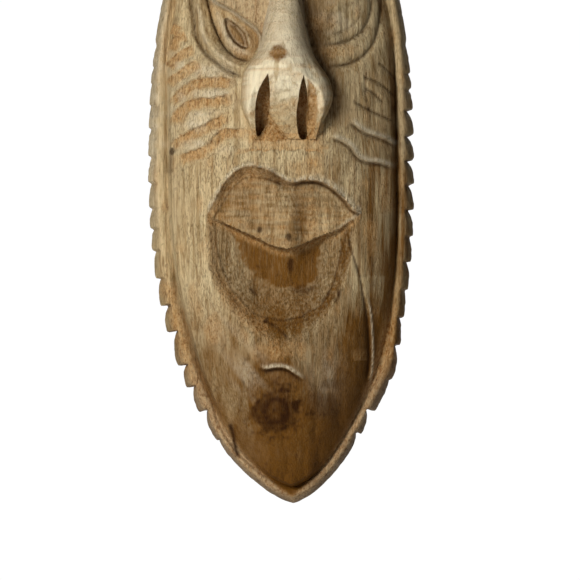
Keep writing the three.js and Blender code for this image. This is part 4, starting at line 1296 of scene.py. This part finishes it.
# Metal colours, bright and tarnished
BRASS, DULL_BRASS = (0.62, 0.43, 0.17), (0.34, 0.22, 0.10)
ZINC, DULL_ZINC = (0.62, 0.63, 0.65), (0.42, 0.42, 0.42)


def metal_material(name, colour, roughness, tarnish):
    n = Nodes(name)
    coord = n.add("TexCoord").outputs["Object"]
    fine = n.noise(coord, 900.0, 3)
    patchiness = n.fade(n.noise(coord, 140.0, 3), 0.42, 0.62)
    base = n.paint((*colour, 1), patchiness, 0.55, tarnish)
    rough = n.math("MULTIPLY_ADD", fine, 0.18, roughness)
    bump = n.add("Bump", {"Strength": 0.25, "Distance": 0.0001, "Height": fine}).outputs[0]
    look = {"Base Color": base, "Metallic": 1.0, "Roughness": rough, "Normal": bump}
    n.add("OutputMaterial", {"Surface": n.add("BsdfPrincipled", look).outputs[0]})
    return n.material


def plain_material(name, colour, roughness):
    n = Nodes(name)
    surface = n.add("BsdfPrincipled", {"Base Color": (*colour, 1), "Roughness": roughness})
    n.add("OutputMaterial", {"Surface": surface.outputs[0]})
    return n.material


# ---- The pieces ----


SHARP_ANGLE = 42


def smooth_by_angle(piece, degrees):
    piece.data.shade_smooth()
    piece.data.set_sharp_from_angle(angle=math.radians(degrees))


def carving():
    piece = block_mesh()
    combine(piece, nose_mesh(), "UNION")
    combine(piece, nostril_cutter("nostril_left", NOSTRIL_LEFT), "DIFFERENCE")
    combine(piece, nostril_cutter("nostril_right", NOSTRIL_RIGHT), "DIFFERENCE")
    combine(piece, hollow_mesh(), "DIFFERENCE")
    combine(piece, seat_cutter("strap_seat", STRAP_SEAT), "DIFFERENCE")
    combine(piece, seat_cutter("ring_well", RING_WELL), "DIFFERENCE")
    smooth_by_angle(piece, SHARP_ANGLE)
    paint_marks(piece)
    piece.data.materials.clear()
    piece.data.materials.append(wood_material())
    piece.name = "carved_mask"
    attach(piece, "mask")
    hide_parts("mask_carving")
    return piece


def assign(node, material):
    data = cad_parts[node].data
    data.materials.clear()
    data.materials.append(material)


def hanger():
    brass = metal_material("brassed_steel", BRASS, 0.28, DULL_BRASS)
    steel = metal_material("zinc_steel", ZINC, 0.3, DULL_ZINC)
    assign("hanger_strap", brass)
    assign("hanger_ring", brass)
    assign("hanger_screw_upper", steel)
    assign("hanger_screw_lower", steel)


# ---- Camera, light and floor ----

LOOK_AT = (4.4, 0, 140.8 - HOOK_H)
CAMERA_AWAY = 2400
FRAME_WIDTH = 385
SENSOR = 36
# In metres
FLOOR_RADIUS, FLOOR_Z, FLOOR_SIDES = 1.15, -0.53, 96
FLOOR_PAINT = (0.85, 0.85, 0.84)
# The wall ahead is white within a cone and grey round it: how far ahead, and the tone
GREY_BELOW, GREY_TONE = 0.93, 0.06
WHITE_ABOVE, WHITE_TONE = 0.99, 1.02


def camera():
    data = bpy.data.cameras.new("camera")
    data.sensor_width = SENSOR
    data.lens = SENSOR * CAMERA_AWAY / FRAME_WIDTH
    eye = bpy.data.objects.new("camera", data)
    eye.location = (LOOK_AT[0] * MM, -CAMERA_AWAY * MM, LOOK_AT[2] * MM)
    eye.rotation_euler = (math.pi / 2, 0, 0)
    bpy.context.collection.objects.link(eye)
    bpy.context.scene.camera = eye


def area_light(name, place_m, aim_m, size, watts, colour=(1, 1, 1)):
    data = bpy.data.lights.new(name, "AREA")
    data.shape = "DISK"
    data.size = size
    data.energy = watts
    data.color = colour
    lamp = bpy.data.objects.new(name, data)
    lamp.location = place_m
    lamp.rotation_euler = (Vector(aim_m) - Vector(place_m)).to_track_quat("-Z", "Y").to_euler()
    bpy.context.collection.objects.link(lamp)


def lights():
    middle = (0, -0.04, -0.2)
    area_light("key", (-0.56, -1.08, 0.1), (0, -0.04, -0.15), size=0.4, watts=12.4, colour=(1, 0.985, 0.95))
    area_light("fill", (0.9, -2.2, 0.2), middle, size=1.6, watts=1.4)
    area_light("back", (0.3, 1.9, 0.9), middle, size=1.4, watts=18)


def surroundings():
    """A pale room: white ahead, softer grey elsewhere, and a pale floor under the hanging mask."""
    world = bpy.data.worlds.new("studio")
    bpy.context.scene.world = world
    world.use_nodes = True
    tree = world.node_tree
    tree.nodes.clear()
    coord = tree.nodes.new("ShaderNodeTexCoord")
    split = tree.nodes.new("ShaderNodeSeparateXYZ")
    ramp = tree.nodes.new("ShaderNodeValToRGB")
    shade = tree.nodes.new("ShaderNodeBackground")
    output = tree.nodes.new("ShaderNodeOutputWorld")
    tree.links.new(coord.outputs["Generated"], split.inputs[0])
    tree.links.new(split.outputs["Y"], ramp.inputs[0])
    stops = ((GREY_BELOW, GREY_TONE), (WHITE_ABOVE, WHITE_TONE))
    for element, (position, tone) in zip(ramp.color_ramp.elements, stops):
        element.position = position
        element.color = (*grey(tone), 1)
    tree.links.new(ramp.outputs[0], shade.inputs["Color"])
    tree.links.new(shade.outputs[0], output.inputs["Surface"])

    angle = np.linspace(0, 2 * np.pi, FLOOR_SIDES, endpoint=False)
    edge = FLOOR_RADIUS * np.stack([np.cos(angle), np.sin(angle), 0 * angle], -1)
    floor = make_mesh("floor", edge, [range(FLOOR_SIDES)])
    floor.location = (0, 0, FLOOR_Z)
    floor.data.materials.append(plain_material("floor_paint", FLOOR_PAINT, 0.7))

    view = bpy.context.scene.view_settings
    view.view_transform = "Standard"
    view.look = "None"


camera()
lights()
surroundings()
carving()
hanger()
